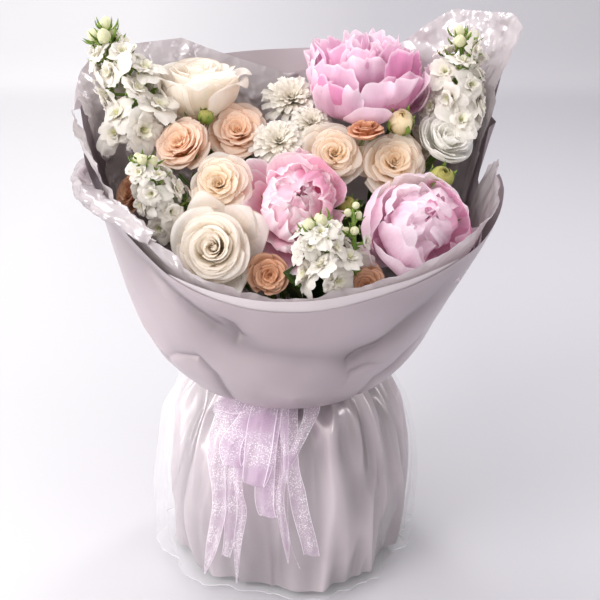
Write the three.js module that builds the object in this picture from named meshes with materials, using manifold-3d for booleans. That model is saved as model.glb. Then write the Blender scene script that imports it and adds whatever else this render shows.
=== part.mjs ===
// A hand-tied bunch of peonies, roses, stocks and chrysanthemums, gathered at a tie and wrapped in
// pearl film over tissue. It stands on its cut stem ends, inside a flared skirt of film.
// Millimetres, +Z up, the front of the bunch towards -Y. The origin is the cut end of the middle stem.
import * as THREE from "three";
import { mergeVertices } from "three/addons/utils/BufferGeometryUtils.js";
import Module from "manifold-3d";

const wasm = await Module();
wasm.setup();

// ---- Driving dimensions ----
const GAP = 0.35; // between two pieces that touch in the real bunch
const FILM = 0.8; // thickness of every sheet
const LAYER = 1.6; // from the middle of one gathered sheet to the next
const STEM_RADIUS = 2.7;
const SLOT = 5.8; // from one stem to the next in the tie
const TIE_LOW = 227;
const TIE_HIGH = 240;
const FOOT_SPREAD = 3.4; // how much wider the stems stand on the surface than in the tie
const FOOT_TWIST = THREE.MathUtils.degToRad(50); // the spiral of the stems below the tie
const TWINE_INNER = 2 * SLOT + STEM_RADIUS + 0.45;
const TWINE_OUTER = TWINE_INNER + 2.4;
const SKIRT_INNER = TWINE_OUTER + 0.8; // middle of the film skirt where it is tied
const BAND_INNER = SKIRT_INNER + LAYER + 0.9;
const BAND_OUTER = BAND_INNER + 1.4;

// ---- Colours, as roughness and colour of each kind of piece ----
const COLOURS = {
  peony: [0xf0b4d2, 0.6],
  cup_rose: [0xf6f0e6, 0.6],
  white_rose: [0xf6f0e6, 0.6],
  peach_rose: [0xf7cdb0, 0.6],
  mum: [0xf7f4ee, 0.6],
  stock: [0xf6f6f4, 0.6],
  bud: [0xd8cf8c, 0.6],
  stem: [0x6f9440, 0.55],
  film: [0xc9c2c6, 0.3],
  clear: [0xf2f2f4, 0.1],
  tissue: [0xe6e1e4, 0.35],
  ribbon: [0xd9bfe2, 0.4],
  twine: [0xb9a684, 0.9],
};

// A repeatable random number from 0 to 1.
function randomFrom(seed) {
  let state = seed >>> 0;
  return () => {
    state = (state + 0x6d2b79f5) >>> 0;
    let t = Math.imul(state ^ (state >>> 15), 1 | state);
    t = (t + Math.imul(t ^ (t >>> 7), 61 | t)) ^ t;
    return ((t ^ (t >>> 14)) >>> 0) / 4294967296;
  };
}

const vec = (x, y, z) => new THREE.Vector3(x, y, z);

// The way something faces: azimuth from the front towards the right, and elevation, in degrees.
function facing([azimuth, elevation]) {
  const a = THREE.MathUtils.degToRad(azimuth);
  const e = THREE.MathUtils.degToRad(elevation);
  return vec(Math.sin(a) * Math.cos(e), -Math.cos(a) * Math.cos(e), Math.sin(e));
}

// ---- Closed surfaces ----
function geometryOf(points, triangles) {
  const geometry = new THREE.BufferGeometry();
  geometry.setAttribute("position", new THREE.Float32BufferAttribute(points.flatMap((p) => p.toArray()), 3));
  geometry.setIndex(triangles);
  return geometry;
}

// A closed surface through rings of equal length. A ring of one point is an end.
function loft(rings) {
  const points = rings.flat();
  const starts = [];
  rings.reduce((sum, ring) => (starts.push(sum), sum + ring.length), 0);
  const triangles = [];
  for (let r = 0; r + 1 < rings.length; r++) {
    const [low, high] = [rings[r], rings[r + 1]];
    const count = Math.max(low.length, high.length);
    for (let k = 0; k < count; k++) {
      const next = (k + 1) % count;
      const at = (ring, start, i) => start + (ring.length === 1 ? 0 : i);
      const a = at(low, starts[r], k);
      const b = at(low, starts[r], next);
      const c = at(high, starts[r + 1], next);
      const d = at(high, starts[r + 1], k);
      if (a !== b) triangles.push(a, b, c);
      if (c !== d) triangles.push(a, c, d);
    }
  }
  return geometryOf(points, triangles);
}

// A thin sheet round a grid of points. A closed sheet joins its last column to its first.
function sheet(grid, normals, closed = false, thickness = FILM) {
  const rows = grid.length;
  const columns = grid[0].length;
  const face = (side) =>
    grid.flatMap((row, r) => row.map((p, c) => p.clone().addScaledVector(normals[r][c], (side * thickness) / 2)));
  const points = [...face(1), ...face(-1)];
  const back = rows * columns;
  const index = (r, c) => r * columns + (c % columns);
  const triangles = [];
  const quad = (a, b, c, d) => triangles.push(a, b, c, a, c, d);
  const last = closed ? columns : columns - 1;
  for (let r = 0; r + 1 < rows; r++) {
    for (let c = 0; c < last; c++) {
      const corners = [index(r, c), index(r, c + 1), index(r + 1, c + 1), index(r + 1, c)];
      const [a, b, d, e] = corners;
      quad(a, b, d, e);
      triangles.push(back + a, back + d, back + b, back + a, back + e, back + d);
    }
    if (!closed) {
      quad(index(r, 0), index(r + 1, 0), back + index(r + 1, 0), back + index(r, 0));
      const end = columns - 1;
      quad(index(r + 1, end), index(r, end), back + index(r, end), back + index(r + 1, end));
    }
  }
  for (let c = 0; c < last; c++) {
    quad(index(0, c + 1), index(0, c), back + index(0, c), back + index(0, c + 1));
    const top = rows - 1;
    quad(index(top, c), index(top, c + 1), back + index(top, c + 1), back + index(top, c));
  }
  return geometryOf(points, triangles);
}

// ---- Joining ----
function solidOf(geometry) {
  const bare = geometry.clone();
  bare.deleteAttribute("normal");
  bare.deleteAttribute("uv");
  const merged = mergeVertices(bare, 1e-3);
  const flip = signedVolume(merged) < 0;
  const triVerts = new Uint32Array(merged.index.array);
  if (flip) {
    for (let i = 0; i < triVerts.length; i += 3) {
      [triVerts[i + 1], triVerts[i + 2]] = [triVerts[i + 2], triVerts[i + 1]];
    }
  }
  return new wasm.Manifold(
    new wasm.Mesh({ numProp: 3, vertProperties: merged.attributes.position.array, triVerts }),
  );
}

function signedVolume(geometry) {
  const p = geometry.attributes.position;
  const [a, b, c] = [vec(), vec(), vec()];
  let sum = 0;
  for (let i = 0; i < geometry.index.count; i += 3) {
    [a, b, c].forEach((v, k) => v.fromBufferAttribute(p, geometry.index.getX(i + k)));
    sum += a.dot(b.cross(c)) / 6;
  }
  return sum;
}

// Joins pieces into one closed body, and fills any hollow that closes up between them.
function fuse(geometries) {
  const joined = geometries.map(solidOf).reduce((all, next) => all.add(next));
  const whole = joined.decompose().reduce((most, body) => (body.volume() > most.volume() ? body : most));
  const mesh = whole.getMesh();
  const geometry = new THREE.BufferGeometry();
  geometry.setAttribute("position", new THREE.BufferAttribute(mesh.vertProperties, 3));
  geometry.setIndex(new THREE.BufferAttribute(mesh.triVerts, 1));
  return geometry;
}

// Turns a shape that faces +Z so that it faces a direction, spins it and moves it into place.
function placed(geometry, centre, direction, spin = 0) {
  const turn = new THREE.Quaternion().setFromUnitVectors(vec(0, 0, 1), direction);
  turn.multiply(new THREE.Quaternion().setFromAxisAngle(vec(0, 0, 1), spin));
  return geometry.applyMatrix4(new THREE.Matrix4().compose(centre, turn, vec(1, 1, 1)));
}

// ---- Blooms ----
// A bloom is one closed surface of petal layers round its middle, as shares of its radius: the flat
// seat under it, the cup, then for each layer the petals' rim and the hollow inside them, and the
// middle. notch is how far the rim draws in between two petals.
const FORMS = {
  peony: {
    samples: 20,
    seat: [0.2, -0.58],
    cup: [[0.66, -0.44], [0.94, -0.1]],
    layers: [
      { rim: [1.0, 0.2], hollow: [0.8, 0.06], petals: 5, notch: 0.14, ruffle: 0.04 },
      { rim: [0.82, 0.4], hollow: [0.6, 0.16], petals: 5, notch: 0.16, ruffle: 0.06 },
      { rim: [0.6, 0.46], hollow: [0.42, 0.2], petals: 10, notch: 0.16, ruffle: 0.12 },
      { rim: [0.38, 0.5], hollow: [0.22, 0.26], petals: 10, notch: 0.16, ruffle: 0.12 },
    ],
    middle: 0.5,
  },
  white_rose: {
    samples: 20,
    seat: [0.18, -0.6],
    cup: [[0.5, -0.46], [0.66, -0.22]],
    layers: [
      { rim: [1.0, -0.06], hollow: [0.72, -0.08], petals: 5, notch: 0.24, ruffle: 0.04 },
      { rim: [0.84, 0.2], hollow: [0.6, 0.04], petals: 5, notch: 0.16, ruffle: 0.03 },
      { rim: [0.64, 0.34], hollow: [0.46, 0.14], petals: 4, notch: 0.12, ruffle: 0.02 },
      { rim: [0.44, 0.4], hollow: [0.26, 0.2], petals: 4, notch: 0.12, ruffle: 0.02 },
      { rim: [0.2, 0.44], hollow: [0.1, 0.3], petals: 2, notch: 0.1, ruffle: 0.02 },
    ],
    middle: 0.36,
  },
  cup_rose: {
    samples: 20,
    seat: [0.2, -0.9],
    cup: [[0.62, -0.72], [0.8, -0.3]],
    layers: [
      { rim: [1.0, 0.06], hollow: [0.76, 0.02], petals: 5, notch: 0.24, ruffle: 0.04 },
      { rim: [0.84, 0.26], hollow: [0.6, 0.1], petals: 5, notch: 0.16, ruffle: 0.03 },
      { rim: [0.6, 0.38], hollow: [0.42, 0.2], petals: 4, notch: 0.12, ruffle: 0.02 },
      { rim: [0.4, 0.44], hollow: [0.2, 0.26], petals: 4, notch: 0.12, ruffle: 0.02 },
    ],
    middle: 0.4,
  },
  peach_rose: {
    samples: 15,
    seat: [0.2, -0.56],
    cup: [[0.56, -0.36]],
    layers: [
      { rim: [1.0, -0.04], hollow: [0.74, -0.02], petals: 5, notch: 0.16, ruffle: 0.04 },
      { rim: [0.86, 0.18], hollow: [0.58, 0.1], petals: 5, notch: 0.14, ruffle: 0.03 },
      { rim: [0.62, 0.3], hollow: [0.4, 0.16], petals: 5, notch: 0.12, ruffle: 0.03 },
      { rim: [0.38, 0.36], hollow: [0.18, 0.2], petals: 5, notch: 0.12, ruffle: 0.03 },
    ],
    middle: 0.34,
  },
  mum: {
    samples: 20,
    seat: [0.22, -0.4],
    cup: [[0.5, -0.3]],
    layers: [
      { rim: [1.0, -0.06], hollow: [0.6, -0.02], petals: 10, notch: 0.3, ruffle: 0.03 },
      { rim: [0.84, 0.2], hollow: [0.46, 0.14], petals: 10, notch: 0.3, ruffle: 0.03 },
      { rim: [0.58, 0.36], hollow: [0.26, 0.24], petals: 10, notch: 0.3, ruffle: 0.03 },
    ],
    middle: 0.42,
  },
  bud: {
    samples: 10,
    seat: [0.3, -1.0],
    cup: [[0.9, -0.7]],
    layers: [
      { rim: [1.0, 0.0], hollow: [0.8, -0.02], petals: 5, notch: 0.12, ruffle: 0 },
      { rim: [0.66, 0.72], hollow: [0.3, 0.7], petals: 5, notch: 0.1, ruffle: 0 },
    ],
    middle: 1.0,
  },
};

// The rim of a petal layer at a share u of the way round: 1 at the middle of a petal, and drawn in
// between two petals.
function rimShare(layer, u) {
  const inPetal = (u * layer.petals) % 1;
  return 1 - layer.notch * (1 - Math.sin(Math.PI * inPetal));
}

function bloomGeometry(kind, radius, seed) {
  const form = FORMS[kind];
  const random = randomFrom(seed);
  const ring = (r, z, share = () => 1) =>
    Array.from({ length: form.samples }, (_, k) => {
      const angle = (2 * Math.PI * k) / form.samples;
      const wide = r * radius * share(k / form.samples);
      return vec(wide * Math.cos(angle), wide * Math.sin(angle), z * radius);
    });
  const rings = [[vec(0, 0, form.seat[1] * radius)], ring(...form.seat)];
  form.cup.forEach((cup) => rings.push(ring(...cup)));
  form.layers.forEach((layer, n) => {
    const phase = n % 2 ? 0.5 / layer.petals : 0;
    const rim = ring(...layer.rim, (u) => rimShare(layer, u + phase));
    rim.forEach((p) => {
      const share = 1 - layer.ruffle * random();
      p.x *= share;
      p.y *= share;
      p.z += layer.ruffle * radius * (2 * random() - 1);
    });
    rings.push(rim, ring(...layer.hollow));
  });
  rings.push([vec(0, 0, form.middle * radius)]);
  return loft(rings);
}

// Where the stem meets a bloom's seat.
function seatOf(bloom) {
  const back = FORMS[bloom.kind].seat[1] * bloom.radius - GAP;
  return bloom.centre.clone().addScaledVector(bloom.faces, back);
}

// ---- Stocks ----
// One floret: a cup of four petals with its root on the spike.
function floretGeometry(radius, depth, random) {
  const samples = 8;
  const ring = (r, z, notch) =>
    Array.from({ length: samples }, (_, k) => {
      const angle = (2 * Math.PI * k) / samples;
      const wide = r * (k % 2 ? 1 - notch : 1) * (1 - 0.12 * random());
      return vec(wide * Math.cos(angle), wide * Math.sin(angle), z + 0.2 * r * (random() - 0.5));
    });
  return loft([[vec(0, 0, -depth)], ring(radius, 0, 0.34), [vec(0, 0, -0.3 * radius)]]);
}

// A spike of florets up a short axis, from its open lower florets to the small ones and the closed
// buds at its tip.
function spikeGeometry({ height, radius, florets, seed }) {
  const random = randomFrom(seed);
  const core = 0.2 * radius;
  const column = (r, z) =>
    Array.from({ length: 6 }, (_, k) => vec(r * Math.cos((k * Math.PI) / 3), r * Math.sin((k * Math.PI) / 3), z));
  const pieces = [
    loft([[vec(0, 0, 0)], column(2.6, 0), column(core, 0.2 * height), column(0.5 * core, height), [vec(0, 0, height + 3)]]),
  ];
  const golden = Math.PI * (3 - Math.sqrt(5));
  for (let i = 0; i < florets; i++) {
    const up = i / (florets - 1);
    const angle = i * golden;
    const size = radius * (0.6 - 0.34 * up);
    const tilt = THREE.MathUtils.lerp(0.1, 1.1, up);
    const out = vec(Math.cos(angle) * Math.cos(tilt), Math.sin(angle) * Math.cos(tilt), Math.sin(tilt));
    const root = vec(0, 0, height * (0.16 + 0.76 * up));
    const reach = (radius - 0.25 * size) * (1 - 0.45 * up);
    pieces.push(placed(floretGeometry(size, reach, random), root.addScaledVector(out, reach), out, random() * 3));
  }
  return fuse(pieces);
}

// ---- What the bunch holds ----
const bloom = (name, kind, centre, faces, diameter) => ({
  name,
  kind,
  centre: vec(...centre),
  faces: facing(faces),
  radius: diameter / 2,
});
const spike = (name, foot, tip, diameter, florets, seed) => ({
  name,
  kind: "stock",
  foot: vec(...foot),
  faces: vec(...tip).sub(vec(...foot)).normalize(),
  height: vec(...tip).distanceTo(vec(...foot)),
  radius: diameter / 2,
  florets,
  seed,
});

// Each entry is one main stem with what it carries. A spray branches at its fork.
const FLOWERS = [
  { stem: "peony_stem_1", heads: [bloom("peony_1", "peony", [66, 13.6, 474], [-8, 78], 98)] },
  { stem: "peony_stem_2", heads: [bloom("peony_2", "peony", [6, -80, 393], [8, 38], 80)] },
  { stem: "peony_stem_3", heads: [bloom("peony_3", "peony", [107, -92, 376], [12, 36], 86)] },
  { stem: "white_rose_stem_1", heads: [bloom("white_rose_1", "cup_rose", [-76, 9, 474], [0, 80], 71)] },
  { stem: "white_rose_stem_2", heads: [bloom("white_rose_2", "white_rose", [-59, -112, 368], [-6, 28], 79)] },
  { stem: "white_rose_stem_3", bow: [19, -12], heads: [bloom("white_rose_3", "white_rose", [136, -28, 435], [24, 50], 49)] },
  { stem: "white_rose_stem_4", heads: [bloom("white_rose_4", "white_rose", [113, 8, 418], [4, 44], 40)] },
  { stem: "stock_stem_1", bow: [0, 3], heads: [spike("stock_1", [-116, -13, 430], [-154, 5, 514], 62, 16, 11)] },
  { stem: "stock_stem_2", bow: [0, -10], heads: [spike("stock_2", [-94, -62, 366], [-114, -80, 430], 46, 12, 12)] },
  { stem: "stock_stem_3", bow: [17, -13], heads: [spike("stock_3", [33, -123, 342], [24, -133, 394], 50, 12, 13)] },
  { stem: "stock_stem_4", bow: [15, -14], heads: [spike("stock_4", [55, -113, 355], [52, -119, 405], 26, 8, 14)] },
  { stem: "stock_stem_5", heads: [spike("stock_5", [143, -1, 436], [150, 4, 510], 55, 14, 15)] },
  {
    stem: "peach_spray_stem_1",
    bow: [-7, -14],
    fork: [-83, -34, 349],
    leaves: [[-66, -28, 408]],
    heads: [
      bloom("peach_rose_1", "peach_rose", [-88, -44, 434], [-30, 46], 47),
      bloom("peach_rose_2", "peach_rose", [-44, -17.8, 438], [4, 48], 50),
      bloom("peach_rose_3", "peach_rose", [-54, -74, 409], [-4, 34], 50),
      bloom("bud_1", "bud", [-69, -19, 452], [0, 70], 13),
    ],
  },
  {
    stem: "peach_spray_stem_2",
    fork: [36, -26, 350],
    leaves: [[64, -46, 386]],
    heads: [
      bloom("peach_rose_4", "peach_rose", [38.6, -40.8, 424.2], [0, 34], 52),
      bloom("peach_rose_8", "peach_rose", [66, -42, 446], [8, 46], 30),
      bloom("bud_4", "bud", [50, -66, 388], [-5, 60], 15),
    ],
  },
  {
    stem: "peach_spray_stem_3",
    bow: [1, 0],
    fork: [82, -20, 351],
    heads: [
      bloom("peach_rose_5", "peach_rose", [89.4, -41.4, 416.8], [4, 36], 54),
      bloom("bud_2", "bud", [96.4, -28.2, 449.3], [0, 50], 21),
      bloom("bud_3", "bud", [129, -56, 409], [14, 50], 20),
    ],
  },
  { stem: "peach_spray_stem_4", heads: [bloom("peach_rose_6", "peach_rose", [-137, -26, 386], [-50, 30], 36)] },
  {
    stem: "peach_spray_stem_5",
    fork: [16, -66, 300],
    leaves: [[10, -124, 340]],
    heads: [
      bloom("peach_rose_7", "peach_rose", [-14, -114, 345], [0, 24], 34),
      bloom("peach_rose_9", "peach_rose", [64, -118, 339], [0, 24], 30),
    ],
  },
  {
    stem: "mum_spray_stem",
    fork: [4, 6, 360],
    heads: [
      bloom("mum_1", "mum", [-7, -34.4, 433], [0, 44], 43),
      bloom("mum_2", "mum", [3, 20, 458], [0, 52], 48),
      bloom("mum_3", "mum", [21, -14, 445], [10, 48], 34),
    ],
  },
];

// ---- Stems ----
// A stem through points, with a radius at each. Its rings lie flat up to the tie, so that its cut end
// is flat on the surface, and then turn with the stem to meet the bloom square on.
function stemGeometry(points, radii, endNormal, sides = 5) {
  const rings = points.map((p, i) => {
    const before = points[Math.max(i - 1, 0)];
    const after = points[Math.min(i + 1, points.length - 1)];
    let normal = after.clone().sub(before).normalize();
    if (p.z <= TIE_HIGH) normal = vec(0, 0, 1);
    if (i === points.length - 1 && endNormal) normal = endNormal;
    const turn = new THREE.Quaternion().setFromUnitVectors(vec(0, 0, 1), normal);
    return Array.from({ length: sides }, (_, k) => {
      const angle = (2 * Math.PI * k) / sides;
      return vec(Math.cos(angle), Math.sin(angle), 0).multiplyScalar(radii[i]).applyQuaternion(turn).add(p);
    });
  });
  return loft([[points[0]], ...rings, [points[points.length - 1]]]);
}

// The places in the tie: one in the middle, six round it and twelve round those.
function tieSlots() {
  const slots = [vec(0, 0, 0)];
  for (const ring of [1, 2]) {
    for (let k = 0; k < 6 * ring; k++) {
      const angle = (2 * Math.PI * k) / (6 * ring) + 0.1;
      slots.push(vec(ring * SLOT * Math.cos(angle), ring * SLOT * Math.sin(angle), 0));
    }
  }
  return slots;
}

// Gives each flower a place in the tie: the middle ones inside, and each ring in order round the
// bunch, turned to where its flowers are.
function assignSlots(ends) {
  const centre = vec(0, -30, 0);
  const polar = ends.map((end, i) => {
    const p = end.clone().sub(centre);
    return { i, far: Math.hypot(p.x, p.y), angle: Math.atan2(p.y, p.x) };
  });
  const slots = tieSlots();
  const byReach = [...polar].sort((a, b) => a.far - b.far);
  const rings = [
    { flowers: byReach.slice(0, 1), places: slots.slice(0, 1) },
    { flowers: byReach.slice(1, 7), places: slots.slice(1, 7) },
    { flowers: byReach.slice(7), places: slots.slice(7) },
  ];
  const chosen = [];
  for (const { flowers, places } of rings) {
    flowers.sort((a, b) => a.angle - b.angle);
    let best = { cost: Infinity, shift: 0 };
    for (let shift = 0; shift < places.length; shift++) {
      const cost = flowers.reduce((sum, f, k) => {
        const place = places[(k + shift) % places.length];
        const turn = f.angle - Math.atan2(place.y, place.x);
        return sum + 1 - Math.cos(turn);
      }, 0);
      if (cost < best.cost) best = { cost, shift };
    }
    flowers.forEach((f, k) => (chosen[f.i] = places[(k + best.shift) % places.length]));
  }
  return chosen;
}

// The stem's line from the surface, through its place in the tie, to where it ends. bow leans it
// sideways over the tie, so that it passes the stems beside it.
function stemLine(slot, end, endFaces, bow) {
  const foot = (share) => {
    const spread = 1 + (FOOT_SPREAD - 1) * share;
    return slot.clone().multiplyScalar(spread).applyAxisAngle(vec(0, 0, 1), -FOOT_TWIST * share);
  };
  const low = [1, 0.5].map((share) => foot(share).setZ(TIE_LOW * (1 - share)));
  const tied = slot.clone().setZ(TIE_LOW);
  const top = slot.clone().setZ(TIE_HIGH);
  const reach = top.distanceTo(end);
  const curve = new THREE.CubicBezierCurve3(
    top,
    top.clone().add(vec(slot.x * 0.5 + bow[0], slot.y * 0.5 + bow[1], 0.32 * reach)),
    end.clone().addScaledVector(endFaces, -Math.min(0.3 * reach, 46)),
    end,
  );
  return [...low, tied, ...curve.getPoints(5)];
}

function flowerStem(flower, slot) {
  const sprays = flower.fork ? flower.heads.map((head) => ({ seat: seatOf(head), head })) : [];
  const only = flower.heads[0];
  const neck = (head) => (head.kind === "stock" ? 2.6 : Math.max(0.16 * head.radius, 2.4));
  const mainEnd = flower.end;
  const faces = flower.fork ? mainEnd.clone().sub(vec(0, 0, TIE_HIGH - 60)).normalize() : only.faces;
  const line = stemLine(slot, mainEnd, faces, flower.bow ?? [0, 0]);
  const radii = line.map(() => STEM_RADIUS);
  if (!flower.fork) radii[radii.length - 1] = neck(only);
  const pieces = [stemGeometry(line, radii, flower.fork ? null : faces)];
  for (const { seat, head } of sprays) {
    const reach = mainEnd.distanceTo(seat);
    const branch = new THREE.CubicBezierCurve3(
      mainEnd.clone().addScaledVector(faces, -5),
      mainEnd.clone().addScaledVector(faces, 0.3 * reach),
      seat.clone().addScaledVector(head.faces, -0.36 * reach),
      seat,
    );
    const points = branch.getPoints(4);
    const width = points.map(() => 1.7);
    width[width.length - 1] = neck(head);
    pieces.push(stemGeometry(points, width, head.faces));
  }
  for (const tip of flower.leaves ?? []) pieces.push(leafGeometry(line[line.length - 2], vec(...tip)));
  return pieces.length > 1 ? fuse(pieces) : pieces[0];
}

// A leaf from its joint on a stem to its tip: a thin arched blade, widest below its middle, with a
// toothed edge.
function leafGeometry(joint, tip) {
  const stations = 6;
  const width = 0.4 * joint.distanceTo(tip);
  const side = tip.clone().sub(joint).cross(vec(0, -0.7, 0.7)).normalize();
  const lift = side.clone().cross(tip.clone().sub(joint)).normalize();
  const length = joint.distanceTo(tip);
  const grid = [];
  const normals = [];
  for (let i = 0; i <= stations; i++) {
    const u = i / stations;
    const tooth = i % 2 ? 1 : 0.84;
    const half = Math.max((width / 2) * Math.sin(Math.PI * u ** 1.4) * tooth, 0.6);
    const rib = joint.clone().lerp(tip, u).addScaledVector(lift, 0.12 * length * Math.sin(Math.PI * u));
    const across = (s) => rib.clone().addScaledVector(side, s * half).addScaledVector(lift, Math.abs(s) * half * 0.3);
    grid.push([-1, 0, 1].map(across));
    normals.push([lift, lift, lift]);
  }
  return sheet(grid, normals, false, 0.8);
}

// ---- Wrap ----
// The wrap's shape is a smooth sweep between three outlines, each from the tie to the top edge as
// distance from the axis and height: at the sides, in front and at the back.
const outline = (pairs) => new THREE.SplineCurve(pairs.map(([r, z]) => new THREE.Vector2(r, z)));
const WRAP_SIDE = outline([[19, 241], [60, 234], [98, 225], [126, 244], [145, 288], [160, 340], [172, 400], [186, 456], [216, 530]]);
const WRAP_FRONT = outline([[19, 241], [50, 235], [86, 221], [114, 219], [134, 250], [147, 290], [156, 325], [163, 360], [168, 395]]);
const WRAP_BACK = outline([[19, 241], [38, 256], [52, 285], [60, 320], [66, 360], [71, 400], [78, 440], [86, 480], [98, 530]]);
const SKIRT = outline([
  [SKIRT_INNER, TIE_HIGH], [SKIRT_INNER + 0.2, TIE_HIGH - 9], [42, 221], [80, 203], [107, 164], [124, 88], [123, 0],
]);
const SKIRT_WIDE = 1.03; // the skirt is wider from side to side than from front to back
const SKIRT_DEEP = 0.86;
const PLEATS = 14;
const BULGE = 0.18;
const BULGE_ANGLE = THREE.MathUtils.degToRad(319);

// The front right peony pushes the wrap outwards.
function bulge(angle, t) {
  const turn = (THREE.MathUtils.euclideanModulo(angle, 2 * Math.PI) - BULGE_ANGLE) / 0.4;
  return 1 + BULGE * Math.exp(-turn * turn) * THREE.MathUtils.smoothstep(t, 0.45, 0.8);
}

function wrapPoint(angle, t) {
  const [c, s] = [Math.cos(angle), Math.sin(angle)];
  const side = WRAP_SIDE.getPoint(t);
  const ahead = (s < 0 ? WRAP_FRONT : WRAP_BACK).getPoint(t);
  const wide = bulge(angle, t);
  return vec(side.x * c * wide, ahead.x * s * wide, side.y * c * c + ahead.y * s * s);
}

function skirtPoint(angle, t, pleat = 1) {
  const { x: r, y: z } = SKIRT.getPoint(t);
  const spread = THREE.MathUtils.smoothstep(t, 0.15, 0.5);
  const wide = r + pleat * spread * (2 + 2.5 * t) * Math.cos(PLEATS * angle);
  return vec(
    wide * Math.cos(angle) * THREE.MathUtils.lerp(1, SKIRT_WIDE, spread),
    wide * Math.sin(angle) * THREE.MathUtils.lerp(1, SKIRT_DEEP, spread),
    z,
  );
}

// The way out of a surface at a point of it.
function outward(surface, angle, t) {
  const step = 1e-3;
  const round = surface(angle + step, t).sub(surface(angle - step, t));
  const up = surface(angle, Math.min(t + step, 1)).sub(surface(angle, Math.max(t - step, 0)));
  return round.cross(up).normalize();
}

// A sheet of the wrap between two angles, from the tie up to topOf(angle). inside is how far it lies
// inside the outermost sheet, at the tie and at its top. crease waves it.
function wrapSheet({ from, to, columns, rows, topOf, inside, crease = 0 }) {
  const grid = [];
  const normals = [];
  for (let r = 0; r <= rows; r++) {
    const [points, ways] = [[], []];
    for (let c = 0; c <= columns; c++) {
      const angle = THREE.MathUtils.degToRad(THREE.MathUtils.lerp(from, to, c / columns));
      const t = (topOf(THREE.MathUtils.radToDeg(angle)) * r) / rows;
      const way = outward(wrapPoint, angle, t);
      const wave = crease * t * ((r + c) % 2 ? 1 : -1);
      const deep = THREE.MathUtils.lerp(inside[0], inside[1], THREE.MathUtils.smoothstep(t, 0, 0.3)) + wave;
      points.push(wrapPoint(angle, t).addScaledVector(way, -deep));
      ways.push(way);
    }
    grid.push(points);
    normals.push(ways);
  }
  return sheet(grid, normals);
}

// A value read off pairs of angle and value, straight between them.
function along(pairs) {
  return (angle) => {
    const k = Math.max(1, pairs.findIndex(([a]) => a >= angle));
    const [[a0, v0], [a1, v1]] = [pairs[k - 1], pairs[k]];
    return THREE.MathUtils.lerp(v0, v1, THREE.MathUtils.clamp((angle - a0) / (a1 - a0), 0, 1));
  };
}

const BACK_FILM_TOP = along([[-16, 0.72], [-6, 0.74], [0, 0.85], [12, 0.92], [40, 0.92], [90, 0.9], [140, 0.89], [180, 0.87], [196, 0.8]]);
const BACK_TISSUE_TOP = along([[-8, 0.76], [-3, 0.79], [0, 0.89], [9, 0.97], [20, 0.99], [45, 0.99], [62, 0.9], [90, 0.84], [120, 0.93], [150, 0.93], [188, 0.88]]);
const FRONT_FILM_TOP = along([[162, 0.76], [176, 0.82], [190, 0.8], [230, 0.775], [270, 0.78], [300, 0.768], [320, 0.78], [334, 0.8], [343, 0.79], [356, 0.7], [378, 0.6]]);
const FRONT_TISSUE_TOP = along([[176, 0.9], [196, 0.88], [222, 0.83], [270, 0.81], [320, 0.81], [340, 0.83], [350, 0.78]]);

// A skirt of film from the tie to the surface. out is how far it lies outside the film skirt.
function skirtSheet(out) {
  const columns = 2 * PLEATS;
  const rows = 6;
  const grid = [];
  const normals = [];
  for (let r = 0; r <= rows; r++) {
    const t = 1 - r / rows;
    const [points, ways] = [[], []];
    for (let c = 0; c < columns; c++) {
      const angle = (2 * Math.PI * c) / columns;
      const way = outward((a, u) => skirtPoint(a, u, 0), angle, t).negate();
      if (r === 0 || r === rows) way.setZ(0).normalize();
      points.push(skirtPoint(angle, t).addScaledVector(way, out));
      ways.push(way);
    }
    grid.push(points);
    normals.push(ways);
  }
  return sheet(grid, normals, true);
}

// ---- Tie and ribbon ----
function hoop(inner, outer, low, high, segments) {
  const profile = [[inner, low], [outer, low], [outer, high], [inner, high], [inner, low]];
  return new THREE.LatheGeometry(profile.map(([r, z]) => new THREE.Vector2(r, z)), segments).rotateX(Math.PI / 2);
}

const RIBBON_LIFT = 8.5; // how far the ribbon lies over the film skirt's own surface
const KNOT = { width: 18, depth: 9, low: 232.8, high: 237.2 };
const KNOT_MIDDLE = vec(0, -(BAND_OUTER + GAP + KNOT.depth / 2), (KNOT.low + KNOT.high) / 2);

// A strip of ribbon from the knot down the front of the skirt. route lists angle from the front in
// degrees, share of the way down the skirt, half its width and how far it stands off.
function stripGeometry(route) {
  const bare = (angle, t) => skirtPoint(angle, t, 0);
  const across = ([middle, side, half, way]) =>
    [-1, 0, 1].map((s) => middle.clone().addScaledVector(side, s * half).addScaledVector(way, s ? 0 : 1.5));
  const stations = [[KNOT_MIDDLE, vec(1, 0, 0), 4, vec(0, -0.6, 0.8)]];
  for (const [degrees, t, half, off] of route) {
    const angle = THREE.MathUtils.degToRad(degrees - 90);
    const way = outward(bare, angle, t).negate();
    const middle = bare(angle, t).addScaledVector(way, RIBBON_LIFT + off);
    stations.push([middle, vec(-Math.sin(angle), Math.cos(angle), 0), half, way]);
  }
  return sheet(stations.map(across), stations.map(([, , , way]) => [way, way, way]));
}

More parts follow.
